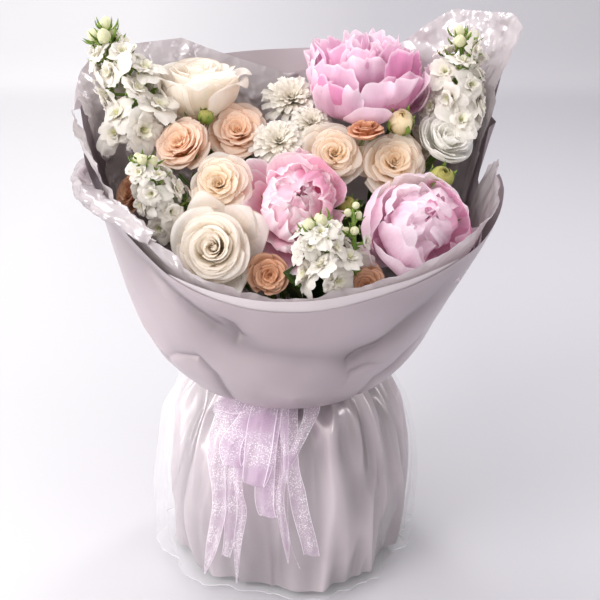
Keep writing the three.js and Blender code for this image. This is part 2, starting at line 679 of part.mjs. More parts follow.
function ribbonBow() {
  const knot = new THREE.BoxGeometry(KNOT.width, KNOT.depth, KNOT.high - KNOT.low);
  knot.translate(...KNOT_MIDDLE.toArray());
  const strips = [
    [[-14, 0.36, 9, 0], [-22, 0.52, 14, 0], [-29, 0.7, 11, 0], [-33, 0.85, 7, 0], [-36, 0.95, 1.5, 0]],
    [[-8, 0.36, 6, 2], [-13, 0.6, 5, 1], [-16, 0.82, 5, 1], [-17, 0.98, 1.5, 1]],
    [[5, 0.36, 9, 1], [7, 0.56, 12, 0], [11, 0.74, 12, 0], [15, 0.88, 11, 0]],
    [[-1, 0.38, 5, 4], [-1, 0.64, 4, 4], [-3, 0.9, 1.5, 3]],
    [[-22, 0.32, 12, 0], [-16, 0.46, 16, 4], [-9, 0.6, 10, 6]],
    [[12, 0.34, 8, 1], [6, 0.48, 10, 5], [-1, 0.62, 9, 9]],
  ];
  return fuse([knot, ...strips.map(stripGeometry)]);
}

// ---- The bunch ----
const bunch = new THREE.Group();

function add(name, geometry, look) {
  const [colour, roughness] = COLOURS[look];
  const material = new THREE.MeshStandardMaterial({ color: colour, roughness, metalness: 0 });
  if (look === "clear") Object.assign(material, { transparent: true, opacity: 0.35 });
  const mesh = new THREE.Mesh(geometry, material);
  mesh.name = name;
  bunch.add(mesh);
  return mesh;
}

let seed = 1;
for (const flower of FLOWERS) {
  const [first] = flower.heads;
  flower.end = flower.fork ? vec(...flower.fork) : first.kind === "stock" ? first.foot.clone().addScaledVector(first.faces, -GAP) : seatOf(first);
  for (const head of flower.heads) {
    seed += 1;
    if (head.kind === "stock") {
      add(head.name, placed(spikeGeometry(head), head.foot, head.faces, seed), "stock");
    } else {
      add(head.name, placed(bloomGeometry(head.kind, head.radius, seed), head.centre, head.faces, seed), head.kind);
    }
  }
}
const slots = assignSlots(FLOWERS.map((flower) => flower.end));
FLOWERS.forEach((flower, i) => add(flower.stem, flowerStem(flower, slots[i]), "stem"));

add("binding_twine", hoop(TWINE_INNER, TWINE_OUTER, TIE_LOW + 1, TIE_HIGH - 1, 18), "twine");
add("back_film", wrapSheet({ from: -8, to: 188, columns: 14, rows: 8, topOf: BACK_FILM_TOP, inside: [LAYER, 5] }), "film");
add("front_film", wrapSheet({ from: 162, to: 378, columns: 16, rows: 7, topOf: FRONT_FILM_TOP, inside: [0, 0] }), "film");
add("front_tissue", wrapSheet({ from: 190, to: 350, columns: 14, rows: 7, topOf: FRONT_TISSUE_TOP, inside: [LAYER, 6], crease: 0.6 }), "tissue");
add("back_tissue", wrapSheet({ from: -4, to: 184, columns: 16, rows: 8, topOf: BACK_TISSUE_TOP, inside: [2 * LAYER, 10], crease: 1 }), "tissue");
add("film_skirt", skirtSheet(0), "film");
add("clear_skirt", skirtSheet(LAYER), "clear");
add("ribbon_band", hoop(BAND_INNER, BAND_OUTER, TIE_HIGH - 7, TIE_HIGH - 0.4, 18), "ribbon");
add("ribbon_bow", ribbonBow(), "ribbon");

export default bunch;
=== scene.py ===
# A wrapped, hand-tied bunch of peonies, roses, stocks and chrysanthemums, dressed over its CAD frame.
# The tables are in millimetres, in the frame's own axes: +Z up, the front of the bunch towards -Y.
import math

import bpy
import numpy as np
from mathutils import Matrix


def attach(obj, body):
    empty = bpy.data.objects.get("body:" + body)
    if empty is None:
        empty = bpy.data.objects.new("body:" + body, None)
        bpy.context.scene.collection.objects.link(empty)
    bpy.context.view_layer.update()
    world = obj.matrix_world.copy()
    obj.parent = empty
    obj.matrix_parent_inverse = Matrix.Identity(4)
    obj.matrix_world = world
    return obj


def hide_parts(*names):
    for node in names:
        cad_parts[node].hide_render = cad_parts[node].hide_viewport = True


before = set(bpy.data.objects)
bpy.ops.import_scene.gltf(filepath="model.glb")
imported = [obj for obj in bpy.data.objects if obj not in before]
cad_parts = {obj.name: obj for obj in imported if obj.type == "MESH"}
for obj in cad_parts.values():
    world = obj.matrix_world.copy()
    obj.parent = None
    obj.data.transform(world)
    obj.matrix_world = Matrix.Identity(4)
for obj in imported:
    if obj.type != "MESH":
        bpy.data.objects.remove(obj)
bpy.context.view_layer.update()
MM = 0.001
TAU = 2 * math.pi
GOLDEN_TURN = math.pi * (3 - math.sqrt(5))


# ---- Numbers ----
def smooth(x, low, high):
    s = np.clip((x - low) / (high - low), 0, 1)
    return s * s * (3 - 2 * s)


def vectors(*parts):
    """Points or directions from their parts, each an array or one number."""
    return np.stack(np.broadcast_arrays(*parts), -1)


def polar(r, angle, z, x_share=1.0, y_share=1.0):
    return vectors(r * np.cos(angle) * x_share, r * np.sin(angle) * y_share, z)


def unit(way):
    return way / np.linalg.norm(way, axis=-1, keepdims=True)


def steps(first, last, count):
    """Even steps as a column, to be met by a row of another measure."""
    return np.linspace(first, last, count)[:, None]


def spline(points, t):
    """Points on the uniform Catmull-Rom curve through the list, at shares t of its spans."""
    p = np.asarray(points, float)
    x = np.clip(t, 0, 1) * (len(p) - 1)
    i = np.minimum(x.astype(int), len(p) - 2)
    w = (x - i)[..., None]
    before, start, end, after = p[np.maximum(i - 1, 0)], p[i], p[i + 1], p[np.minimum(i + 2, len(p) - 1)]
    v0, v1 = (end - before) / 2, (after - start) / 2
    cubic = (2 * start - 2 * end + v0 + v1) * w**3
    return cubic + (-3 * start + 3 * end - 2 * v0 - v1) * w**2 + v0 * w + start


def lattice(cell, seed):
    """A repeatable number from 0 to 1 for each whole-number cell."""
    x, y, z = (cell[..., k].astype(np.int64) for k in range(3))
    h = (x * 374761393 + y * 668265263 + z * 1103515245 + seed * 1274126177) & 0xFFFFFFFF
    h = ((h ^ (h >> 13)) * 1274126177) & 0xFFFFFFFF
    h = ((h ^ (h >> 15)) * 2246822519) & 0xFFFFFFFF
    return (h ^ (h >> 16)) / 4294967295


def noise(points, seed=0):
    """Smooth noise from -1 to 1, with bumps about one unit apart."""
    base = np.floor(points)
    w = points - base
    w = w * w * (3 - 2 * w)
    total = 0
    for corner in np.ndindex(2, 2, 2):
        share = np.prod(np.where(np.array(corner) > 0, w, 1 - w), axis=-1)
        total = total + share * lattice(base + np.array(corner), seed)
    return 2 * total - 1


def bent(points, reach, spots, seed):
    """The points, each moved by up to about reach in the noise at its spot."""
    return points + reach * np.stack([noise(spots, seed + k) for k in (1, 2, 3)], -1)


def creases(points, seed=0, width=0.0):
    """Crumple from about -1 to 1: the distance to the nearest of scattered points. Its ridges are sharp,
    or rounded over about the width."""
    base = np.floor(points)
    best, total = np.full(points.shape[:-1], 9.0), 0
    for step in np.ndindex(3, 3, 3):
        cell = base + np.array(step) - 1
        spot = cell + np.stack([lattice(cell, seed + k) for k in range(3)], -1)
        away = np.linalg.norm(points - spot, axis=-1)
        best = np.minimum(best, away)
        if width:
            total = total + np.exp(-away / width)
    if width:
        best = -width * np.log(total)
    return 2.6 * best - 1.2


def turn_to(way):
    """The shortest turn that takes +Z to way."""
    x, y, z = unit(np.asarray(way, float))
    k = 1 / (1 + z)
    return np.array([[1 - k * x * x, -k * x * y, x], [-k * x * y, 1 - k * y * y, y], [-x, -y, z]])


def facing(azimuth, elevation):
    a, e = math.radians(azimuth), math.radians(elevation)
    return np.array([math.sin(a) * math.cos(e), -math.cos(a) * math.cos(e), math.sin(e)])


# ---- Meshes ----
def show(name, data):
    thing = bpy.data.objects.new(name, data)
    bpy.context.scene.collection.objects.link(thing)
    return thing


class Build:
    """Gathers grids of points into one mesh. at and turn place what is added in a flower's own axes."""

    def __init__(self, at=(0, 0, 0), turn=None):
        self.at, self.turn = np.asarray(at, float), np.eye(3) if turn is None else turn
        self.points, self.faces, self.uvs, self.tones, self.kinds = [], [], [], [], []
        self.count = 0

    def grid(self, points, tone=(0, 0, 0), kind=0, closed=False):
        rows, cols = points.shape[:2]
        index = self.count + np.arange(rows * cols).reshape(rows, cols)
        across = np.concatenate([index, index[:, :1]], 1) if closed else index
        quads = [across[:-1, :-1], across[:-1, 1:], across[1:, 1:], across[1:, :-1]]
        faces = np.stack(quads, -1).reshape(-1, 4)
        self.points.append(points.reshape(-1, 3) @ self.turn.T + self.at)
        self.faces.append(faces)
        self.uvs.append(vectors(np.linspace(0, 1, cols), steps(0, 1, rows)).reshape(-1, 2))
        tone = np.broadcast_to(np.asarray(tone, float), (rows, cols, 3)).reshape(-1, 3)
        self.tones.append(np.concatenate([tone, np.ones((rows * cols, 1))], 1))
        self.kinds.append(np.full(len(faces), kind))
        self.count += rows * cols

    def piece(self, name, materials, slot, nodes=()):
        def flat(values, kind=np.float32):
            return np.asarray(values).astype(kind).ravel()

        mesh = bpy.data.meshes.new(name)
        faces = np.concatenate(self.faces).astype(np.int32)
        mesh.vertices.add(self.count)
        mesh.vertices.foreach_set("co", flat(np.concatenate(self.points) * MM))
        mesh.loops.add(faces.size)
        mesh.loops.foreach_set("vertex_index", faces.ravel())
        mesh.polygons.add(len(faces))
        mesh.polygons.foreach_set("loop_start", np.arange(0, faces.size, 4, dtype=np.int32))
        mesh.polygons.foreach_set("material_index", flat(np.concatenate(self.kinds), np.int32))
        mesh.update(calc_edges=True)
        uvs = mesh.uv_layers.new(name="uv").data
        uvs.foreach_set("uv", flat(np.concatenate(self.uvs)[faces.ravel()]))
        tones = mesh.color_attributes.new("tone", "FLOAT_COLOR", "POINT").data
        tones.foreach_set("color", flat(np.concatenate(self.tones)))
        mesh.shade_smooth()
        for material in materials:
            mesh.materials.append(material)
        piece = show(name, mesh)
        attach(piece, "root")
        if nodes:
            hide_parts(*nodes)
        return piece


# ---- Materials ----
class Shader:
    """A material, or a world, with node() to add a shader node whose inputs are numbers, colours or
    other nodes' sockets."""

    def __init__(self, name, kind=None):
        self.owner = (bpy.data.materials if kind is None else kind).new(name)
        self.owner.use_nodes = True
        self.tree = self.owner.node_tree
        self.tree.nodes.clear()

    def node(self, kind, inputs=None, output=0, **settings):
        node = self.tree.nodes.new("ShaderNode" + kind)
        for key, value in settings.items():
            setattr(node, key, value)
        for key, value in (inputs or {}).items():
            if isinstance(value, bpy.types.NodeSocket):
                self.tree.links.new(value, node.inputs[key])
            else:
                node.inputs[key].default_value = value
        return node.outputs[output] if len(node.outputs) else None

    def split(self, value, kind="XYZ"):
        return self.node("Separate" + kind, {0: value}, output=slice(0, 3))

    def spot(self):
        """The place on the object, in metres."""
        return self.node("TexCoord", output=3)

    def uv(self):
        return self.node("UVMap", uv_map="uv")

    def tone(self):
        return self.node("VertexColor", layer_name="tone")

    def noise(self, vector, scale, detail, **more):
        return self.node("TexNoise", {"Vector": vector, "Scale": scale, "Detail": detail, **more})

    def stretch(self, vector, scale, turn=0.0):
        return self.node("Mapping", {"Vector": vector, "Rotation": (0.0, 0.0, turn), "Scale": scale})

    def bump(self, height, strength, distance):
        return self.node("Bump", {"Height": height, "Strength": strength, "Distance": distance})

    def math(self, operation, *values):
        return self.node("Math", dict(enumerate(values)), operation=operation)

    def from_middle(self, value):
        """How far a value is from 0.5."""
        return self.math("ABSOLUTE", self.math("SUBTRACT", value, 0.5))

    def swing(self, cloud, reach):
        return self.math("MULTIPLY", self.math("SUBTRACT", cloud, 0.5), reach)

    def mix(self, share, a, b, blend="MIX"):
        settings = dict(data_type="RGBA", blend_type=blend, clamp_result=True)
        return self.node("Mix", {0: share, 6: a, 7: b}, output=2, **settings)

    def ramp(self, value, stops, interpolation="LINEAR"):
        """stops are (place, grey) or (place, red, green, blue)."""
        node = self.tree.nodes.new("ShaderNodeValToRGB")
        self.tree.links.new(value, node.inputs[0])
        ramp = node.color_ramp
        ramp.interpolation = interpolation
        while len(ramp.elements) < len(stops):
            ramp.elements.new(0.5)
        for element, (at, *colour) in zip(ramp.elements, stops):
            element.position = at
            element.color = rgb(*colour) if len(colour) > 1 else (*colour * 3, 1)
        return node.outputs[0]

    def darken(self, colour, value, stops, interpolation="LINEAR"):
        return self.mix(1.0, colour, self.ramp(value, stops, interpolation), "MULTIPLY")

    def finish(self, colour, numbers, normal=None, through=None, share=0.3):
        """Ends in a Principled shader, mixed with light from behind where through gives its colour."""
        bumped = {} if normal is None else {"Normal": normal}
        surface = self.node("BsdfPrincipled", {"Base Color": colour, **numbers, **bumped})
        if through is not None:
            behind = self.node("BsdfTranslucent", {"Color": through, **bumped})
            surface = self.node("MixShader", {0: share, 1: surface, 2: behind})
        self.node("OutputMaterial", {"Surface": surface})
        return self.owner


def rgb(red, green, blue):
    """A colour given as the 0 to 255 of a screen, in linear light."""
    return tuple(((v / 255 + 0.055) / 1.055) ** 2.4 if v > 10 else v / 3295 for v in (red, green, blue)) + (1,)


def petal_material(
    name, stops, inner, rim, rim_share=0.5, roughness=0.55, share=0.42, vein=0.08, shade=0.05, deep=None,
    rim_at=0.93,
):
    """stops colour a petal from its root to its tip. inner tints the innermost petals, and rim their edges."""
    s = Shader(name)
    uv, tone = s.uv(), s.tone()
    chance, inward, strong = s.split(tone, "Color")
    across, along, _ = s.split(uv)
    # Blotches shift where one colour ends and the next begins.
    colour = s.ramp(s.math("ADD", along, s.swing(s.noise(s.spot(), 90.0, 3.0), 0.3)), stops)
    colour = s.mix(s.math("MULTIPLY", inward, 0.85), colour, s.mix(0.5, colour, rgb(*inner)))
    if deep:
        colour = s.mix(s.math("MULTIPLY", strong, 0.8), colour, rgb(*deep))
    lines = s.node("VectorMath", {0: s.stretch(uv, (26.0, 2.2, 1.0)), 1: tone}, operation="ADD")
    veins = s.noise(lines, 1.0, 4.0, Roughness=0.6)
    colour = s.darken(colour, veins, [(0.35, 1 - vein), (0.62, 1.0)])
    edge = s.math("MAXIMUM", s.math("MULTIPLY", s.from_middle(across), 2.0), along)
    colour = s.mix(s.ramp(edge, [(rim_at, 0.0), (0.995, rim_share)]), colour, rgb(*rim))
    lighter = s.math("MULTIPLY_ADD", chance, 2 * shade, 1 - shade)
    colour = s.mix(1.0, colour, s.node("CombineXYZ", {0: lighter, 1: lighter, 2: lighter}), "MULTIPLY")
    cells = s.noise(s.spot(), 900.0, 2.0)
    normal = s.bump(s.math("ADD", veins, s.math("MULTIPLY", cells, 0.25)), 0.22, 0.0012)
    finish = s.ramp(cells, [(0.3, roughness - 0.08), (0.7, roughness + 0.1)])
    numbers = {"Roughness": finish, "Specular IOR Level": 0.35, "Sheen Weight": 0.15, "Sheen Roughness": 0.4}
    return s.finish(colour, numbers, normal, colour, share)


def green_material(name, root, tip, roughness=0.5, share=0.2):
    s = Shader(name)
    across, along, _ = s.split(s.uv())
    cloud = s.noise(s.spot(), 130.0, 4.0)
    colour = s.ramp(s.math("ADD", along, s.swing(cloud, 0.6)), [(0.0, *root), (1.0, *tip)])
    side = s.from_middle(across)
    colour = s.mix(s.ramp(side, [(0.0, 0.35), (0.035, 0.0)]), colour, rgb(168, 190, 120))
    branch = s.math("ADD", along, s.math("MULTIPLY", side, -0.9))
    waves = s.math("PINGPONG", s.math("MULTIPLY", branch, 11.0), 0.5)
    colour = s.darken(colour, waves, [(0.0, 0.72), (0.14, 1.0)])
    normal = s.bump(s.math("ADD", s.math("MULTIPLY", waves, 0.5), cloud), 0.35, 0.0008)
    finish = s.ramp(cloud, [(0.3, roughness - 0.1), (0.7, roughness + 0.1)])
    return s.finish(colour, {"Roughness": finish, "Specular IOR Level": 0.45}, normal, colour, share)


def stem_material():
    s = Shader("stem_skin")
    fibre = s.noise(s.stretch(s.spot(), (420.0, 420.0, 24.0)), 1.0, 4.0)
    cloud = s.noise(s.spot(), 22.0, 3.0)
    colour = s.ramp(cloud, [(0.3, 66, 92, 38), (0.55, 102, 132, 58), (0.75, 140, 152, 84)])
    colour = s.darken(colour, fibre, [(0.3, 0.74), (0.65, 1.0)])
    return s.finish(colour, {"Roughness": s.ramp(fibre, [(0.2, 0.42), (0.8, 0.62)])}, s.bump(fibre, 0.4, 0.0006))


def film_material(
    name, colour, shade, roughness, share, wrinkle, coat=0.0, alpha=1.0, scale=28.0, pearl=0.0, crisp=0.0
):
    """Thin film or tissue: soft clouds of tone, fine wrinkles in the bump, light through it."""
    s = Shader(name)
    spot, tone = s.spot(), s.tone()
    cloud = s.noise(spot, 9.0, 3.0, Distortion=0.6)
    tint = s.ramp(cloud, [(0.12, *shade), (0.88, *colour)], "EASE")
    # Painted shade and light: the film's colour is darker down in its valleys and lighter where it is bent out, as
    # the sheet's tone says.
    tint = s.darken(tint, tone, [(0.0, 0.52), (0.5, 0.82), (1.0, 1.0)], "CARDINAL")
    fine = s.noise(spot, scale, 2.0, Roughness=0.45)
    cells = {"Vector": spot, "Scale": 1.5 * scale, "Randomness": 1.0}
    folds = s.ramp(s.node("TexVoronoi", cells, feature="DISTANCE_TO_EDGE"), [(0.0, 0.0), (0.35, 1.0)], "EASE")
    normal = s.bump(s.math("ADD", fine, s.math("MULTIPLY", folds, crisp)), wrinkle, 0.004)
    finish = s.ramp(fine, [(0.0, roughness), (1.0, roughness + 0.1)], "EASE")
    numbers = {"Roughness": finish, "Specular IOR Level": 0.6, "Coat Weight": coat, "Coat Roughness": 0.14}
    numbers["Metallic"] = pearl
    if alpha < 1:
        # Painted highlights: the hem of clear film is painted half opaque where its edge catches the light, and
        # the film is painted cloudy white where its tone is high.
        hem = s.ramp(s.split(s.uv())[1], [(0.0, 0.5), (0.009, 0.0)])
        painted_white_highlight = s.ramp(tone, [(0.5, 0.0), (1.0, 0.1)], "EASE")
        clear = s.ramp(cloud, [(0.1, 0.3 * alpha), (0.9, 1.9 * alpha)], "EASE")
        numbers["Alpha"] = s.math("MAXIMUM", hem, s.math("ADD", clear, painted_white_highlight))
    return s.finish(tint, numbers, normal, tint if share else None, share)


def ribbon_material():
    """Sheer lilac organza: a fine square weave, opaque selvages, and sparkling flecks painted white in clouds as
    painted glints.
    """
    s = Shader("organza")
    uv, spot = s.uv(), s.spot()
    weave = []
    for turn in (0.0, math.pi / 2):
        lined = s.stretch(uv, (60.0, 60.0, 60.0), turn)
        weave.append(s.node("TexWave", {"Vector": lined, "Scale": 1.0, "Distortion": 0.6}, output=1))
    threads = s.math("MAXIMUM", *weave)
    specks = s.node("TexVoronoi", {"Vector": spot, "Scale": 760.0}, output=0)
    cloud = s.noise(spot, 38.0, 2.0)
    # Painted glints: the flecks are painted white and opaque, most in clouds where the loops catch the light.
    painted_glint_patches = s.ramp(cloud, [(0.38, 0.2), (0.55, 1.0)])
    glitter_and_painted_glints = s.math("MULTIPLY", s.ramp(specks, [(0.3, 1.0), (0.4, 0.0)]), painted_glint_patches)
    selvage = s.ramp(s.from_middle(s.split(uv)[0]), [(0.455, 0.0), (0.475, 1.0)])
    colour = s.ramp(cloud, [(0.3, 222, 194, 220), (0.7, 244, 230, 243)])
    colour = s.mix(s.math("MAXIMUM", glitter_and_painted_glints, s.math("MULTIPLY", selvage, 0.6)), colour, rgb(255, 250, 255))
    alpha = s.math("MAXIMUM", s.math("MULTIPLY_ADD", threads, 0.24, 0.22), s.math("MAXIMUM", glitter_and_painted_glints, selvage))
    finish = s.ramp(glitter_and_painted_glints, [(0.0, 0.42), (1.0, 0.14)])
    numbers = {"Roughness": finish, "Alpha": alpha, "Sheen Weight": 0.5, "Specular IOR Level": 0.6}
    return s.finish(colour, numbers, s.bump(s.math("ADD", threads, glitter_and_painted_glints), 0.4, 0.0004), colour, 0.25)


def twine_material():
    s = Shader("jute")
    fibre = s.noise(s.stretch(s.uv(), (30.0, 200.0, 1.0), 0.6), 1.0, 4.0)
    colour = s.ramp(fibre, [(0.3, 128, 104, 72), (0.7, 196, 176, 138)])
    return s.finish(colour, {"Roughness": 0.85}, s.bump(fibre, 0.7, 0.0006))


WHITE = (253, 249, 244)
# name: colours from root to tip, the innermost petals' tint, the rim's colour and its share, the rest
PETALS = {
    "peony": (
        [(0.0, 214, 94, 156), (0.22, 232, 162, 200), (0.55, 238, 202, 223), (1.0, 248, 232, 242)],
        (242, 204, 226), (255, 244, 250), 0.65, dict(share=0.46, vein=0.035, deep=(222, 114, 176)),
    ),
    "pale_peony": (
        [(0.0, 250, 146, 192), (0.2, 254, 206, 230), (0.5, 255, 234, 245), (1.0, 255, 246, 252)],
        (255, 251, 253), (255, 253, 255), 0.5, dict(share=0.66, vein=0.05, deep=(250, 172, 212)),
    ),
    "blush_peony": (
        [(0.0, 240, 104, 154), (0.34, 252, 168, 198), (0.68, 255, 220, 234), (1.0, 255, 246, 250)],
        (255, 220, 232), (255, 252, 253), 0.7, dict(share=0.5, deep=(248, 168, 204), rim_at=0.9),
    ),
    "white_rose": (
        [(0.0, 252, 236, 206), (0.4, 255, 247, 236), (0.8, 254, 249, 244), (1.0, 253, 249, 246)],
        (255, 246, 230), (206, 182, 148), 0.5, dict(share=0.58, roughness=0.45, vein=0.05, rim_at=0.95),
    ),
    "pure_white": (
        [(0.0, 254, 250, 242), (0.4, 255, 253, 250), (1.0, 255, 254, 252)],
        (255, 253, 246), WHITE, 0.3, dict(share=0.62, vein=0.04),
    ),
    "peach_rose": (
        [(0.0, 252, 202, 146), (0.3, 252, 222, 194), (0.7, 252, 233, 218), (1.0, 253, 240, 231)],
        (254, 208, 138), (190, 120, 84), 0.65, dict(share=0.58, vein=0.05, rim_at=0.95),
    ),
    "cream_rose": (
        [(0.0, 255, 224, 170), (0.3, 255, 240, 220), (0.7, 255, 246, 236), (1.0, 255, 250, 245)],
        (255, 226, 168), (196, 136, 96), 0.75, dict(share=0.62, vein=0.04, rim_at=0.96),
    ),
    "deep_peach": (
        [(0.0, 214, 124, 70), (0.4, 238, 178, 136), (1.0, 246, 206, 180)],
        (246, 190, 124), (150, 80, 58), 0.8, dict(share=0.4, rim_at=0.94),
    ),
    "stock": (
        [(0.0, 196, 210, 92), (0.18, 232, 234, 186), (0.36, 244, 240, 230), (1.0, 247, 242, 237)],
        (224, 230, 130), WHITE, 0.2, dict(roughness=0.5, vein=0.05),
    ),
    "mum": (
        [(0.0, 222, 216, 172), (0.3, 240, 235, 224), (1.0, 246, 242, 238)],
        (246, 239, 218), WHITE, 0.2, dict(vein=0.05),
    ),
    "bud": (
        [(0.0, 200, 208, 120), (0.5, 248, 232, 190), (1.0, 252, 240, 210)],
        (248, 228, 170), (226, 178, 120), 0.3, {},
    ),
    "green_bud": (
        [(0.0, 120, 148, 52), (0.5, 164, 180, 84), (1.0, 206, 200, 120)],
        (180, 190, 96), (150, 110, 70), 0.4, {},
    ),
}
PETALS = {name: petal_material(name + "_petal", *look, **more) for name, (*look, more) in PETALS.items()}
SEPAL = green_material("sepal_green", (98, 136, 44), (150, 180, 84))
LEAF = green_material("leaf_green", (38, 68, 22), (70, 104, 40), 0.42)
STEM = stem_material()
FILM = film_material(
    "pearl_film", (204, 190, 195), (188, 174, 179), 0.285, 0.06, 0.08, coat=0.3, scale=12.0, pearl=0.6
)
PALE_FILM = film_material("pale_film", (236, 226, 229), (222, 212, 216), 0.3, 0.2, 0.1, coat=0.3, scale=14.0)
# The skirt's pearl film is given a lighter colour than the same film above the tie: painted light that lifts it
# out of its shade.
SKIRT_FILM = film_material(
    "skirt_film", (224, 210, 215), (198, 184, 189), 0.285, 0.06, 0.12, coat=0.5, scale=12.0, pearl=0.55
)
TISSUE = film_material(
    "tissue", (232, 223, 226), (204, 194, 198), 0.15, 0.34, 0.6, coat=0.6, scale=26.0, pearl=0.15, crisp=0.4
)
CLEAR = film_material(
    "clear_film", (253, 252, 254), (244, 242, 246), 0.12, 0.0, 0.3, coat=1.0, alpha=0.09, scale=24.0
)
ORGANZA = ribbon_material()
TWINE = twine_material()


# ---- Petals ----
def petal(
    build, size, profile, half, turn, rng, rows=12, cols=11, narrow=0.35, tip=3.0, blunt=0.16, notch=0.0, edge=0.0,
    lift=0.0, frill=0.0, folds=2.0, spiral=0.0, jag=0.0, inward=0.0, kind=0, loose=1.0, crinkle=0.0,
):
    """One petal in the flower's own axes. profile goes from root to tip as distance from the flower's
    axis and height, in shares of size, and half is half the petal's width in the same shares."""
    u = np.linspace(-1, 1, cols)
    seed = rng.random(4) * 40
    ends = 1 - blunt * np.abs(u) ** tip - notch * np.exp(-((u / 0.16) ** 2))
    if jag:
        ends = ends - jag * np.abs(noise(vectors(u * 5 + seed[0], 0, 0), 3))
    v = steps(0, 1, rows) * ends
    lean, grow, tall = rng.normal(0, 0.035 * loose, 3)
    rz = spline(profile, v) * size
    r = rz[..., 0] * (1 + grow + 1.4 * lean * v)
    z = rz[..., 1] + size * v * (0.7 * tall - 0.8 * lean)
    w = half * size * (narrow + (1 - narrow) * np.sin(np.pi / 2 * np.clip(v / 0.6, 0, 1)))
    angle = turn + u * w / np.maximum(r, 0.62 * w)
    r = r + spiral * u * w + edge * w * np.abs(u) ** 3 * v
    z = z + lift * w * u * u * v
    if frill:
        spot = vectors(u * folds + seed[0], v * 1.6 + seed[1], 0)
        fine = vectors(u * 2.6 * folds + seed[2], v * 3 + seed[3], 0)
        r = r + frill * size * v**2 * (1.1 * noise(spot, 5) + 0.6 * noise(fine, 6))
        z = z + frill * size * v**1.5 * (0.8 * noise(spot + 9, 7) + 0.4 * noise(fine + 9, 8))
        angle = angle + 0.9 * frill * v**2 * noise(spot + 17, 9)
    if crinkle:
        lines = vectors(u * 4.5 + seed[1], v * 1.2 + seed[2], 0)
        r = r + crinkle * size * v * (noise(lines, 11) + 0.5 * noise(lines * 2.3, 12))
    r = np.maximum(r, 0.01 * size)
    build.grid(polar(r, angle, z), (rng.random(), inward, rng.random() ** 4), kind)


def rings(build, size, layers, rng, astray=0.0):
    """Rings of petals from the outside in."""
    way, middle = rng.random() * 7, build.at
    for n, (count, profile, half, settings) in enumerate(layers):
        settings = {"inward": n / max(len(layers) - 1, 1), **settings}
        first = settings.pop("first", rng.random() * 7)
        aside = astray * size * n / len(layers) * np.array([math.cos(way), math.sin(way), 0])
        build.at = middle + build.turn @ aside
        for k in range(count):
            turn = first + TAU * (k + 0.22 * rng.normal()) / count
            petal(build, size, profile, half, turn, rng, **settings)
    build.at = middle


def calyx(build, size, deep, rng, length=0.6, width=0.16):
    """Five green sepals and the swelling under a flower, whose seat is deep below its middle."""
    swell = [(0.04, deep - 0.02), (0.2, deep - 0.01), (0.26, deep + 0.1), (0.2, deep + 0.24)]
    rz = spline(swell, steps(0, 1, 7)) * size
    build.grid(polar(rz[..., 0], np.linspace(0, TAU, 14, endpoint=False), rz[..., 1]), kind=1, closed=True)
    out, line = 0.26 + length * 0.5, [(0.1, deep + 0.04), (0.34, deep + 0.04)]
    line += [(out + 0.1, deep + 0.3 * length), (out + 0.24, deep + 0.8 * length)]
    for k in range(5):
        petal(build, size, line, width, TAU * k / 5 + 0.4, rng, 9, 5, 0.8, 1.1, 0.9, kind=1, frill=0.02)


def bud_sepals(build, size, rng):
    """Long green sepals that hold a bud and turn out at their tips."""
    line = [(0.12, -1.0), (0.72, -0.82), (1.08, -0.2), (1.06, 0.28), (0.94, 0.66), (1.08, 0.98)]
    for k in range(5):
        turn = TAU * (k + 0.15 * rng.normal()) / 5
        petal(build, size, line, 0.46, turn, rng, 16, 7, 0.7, 1.1, 0.86, kind=1, frill=0.03, loose=1.6)


# A flower is rings of petals from the outside in: how many, half a petal's width, its profile and the
# petal's settings, over those that the flower's rings share. Widths and profiles are in hundredths of
# the flower's radius, and a profile gives distance from the axis and height in turn.
def flower(shared, *layers):
    return [
        (count, np.reshape(profile, (-1, 2)) / 100, half / 100, {**shared, **settings})
        for count, half, profile, settings in layers
    ]


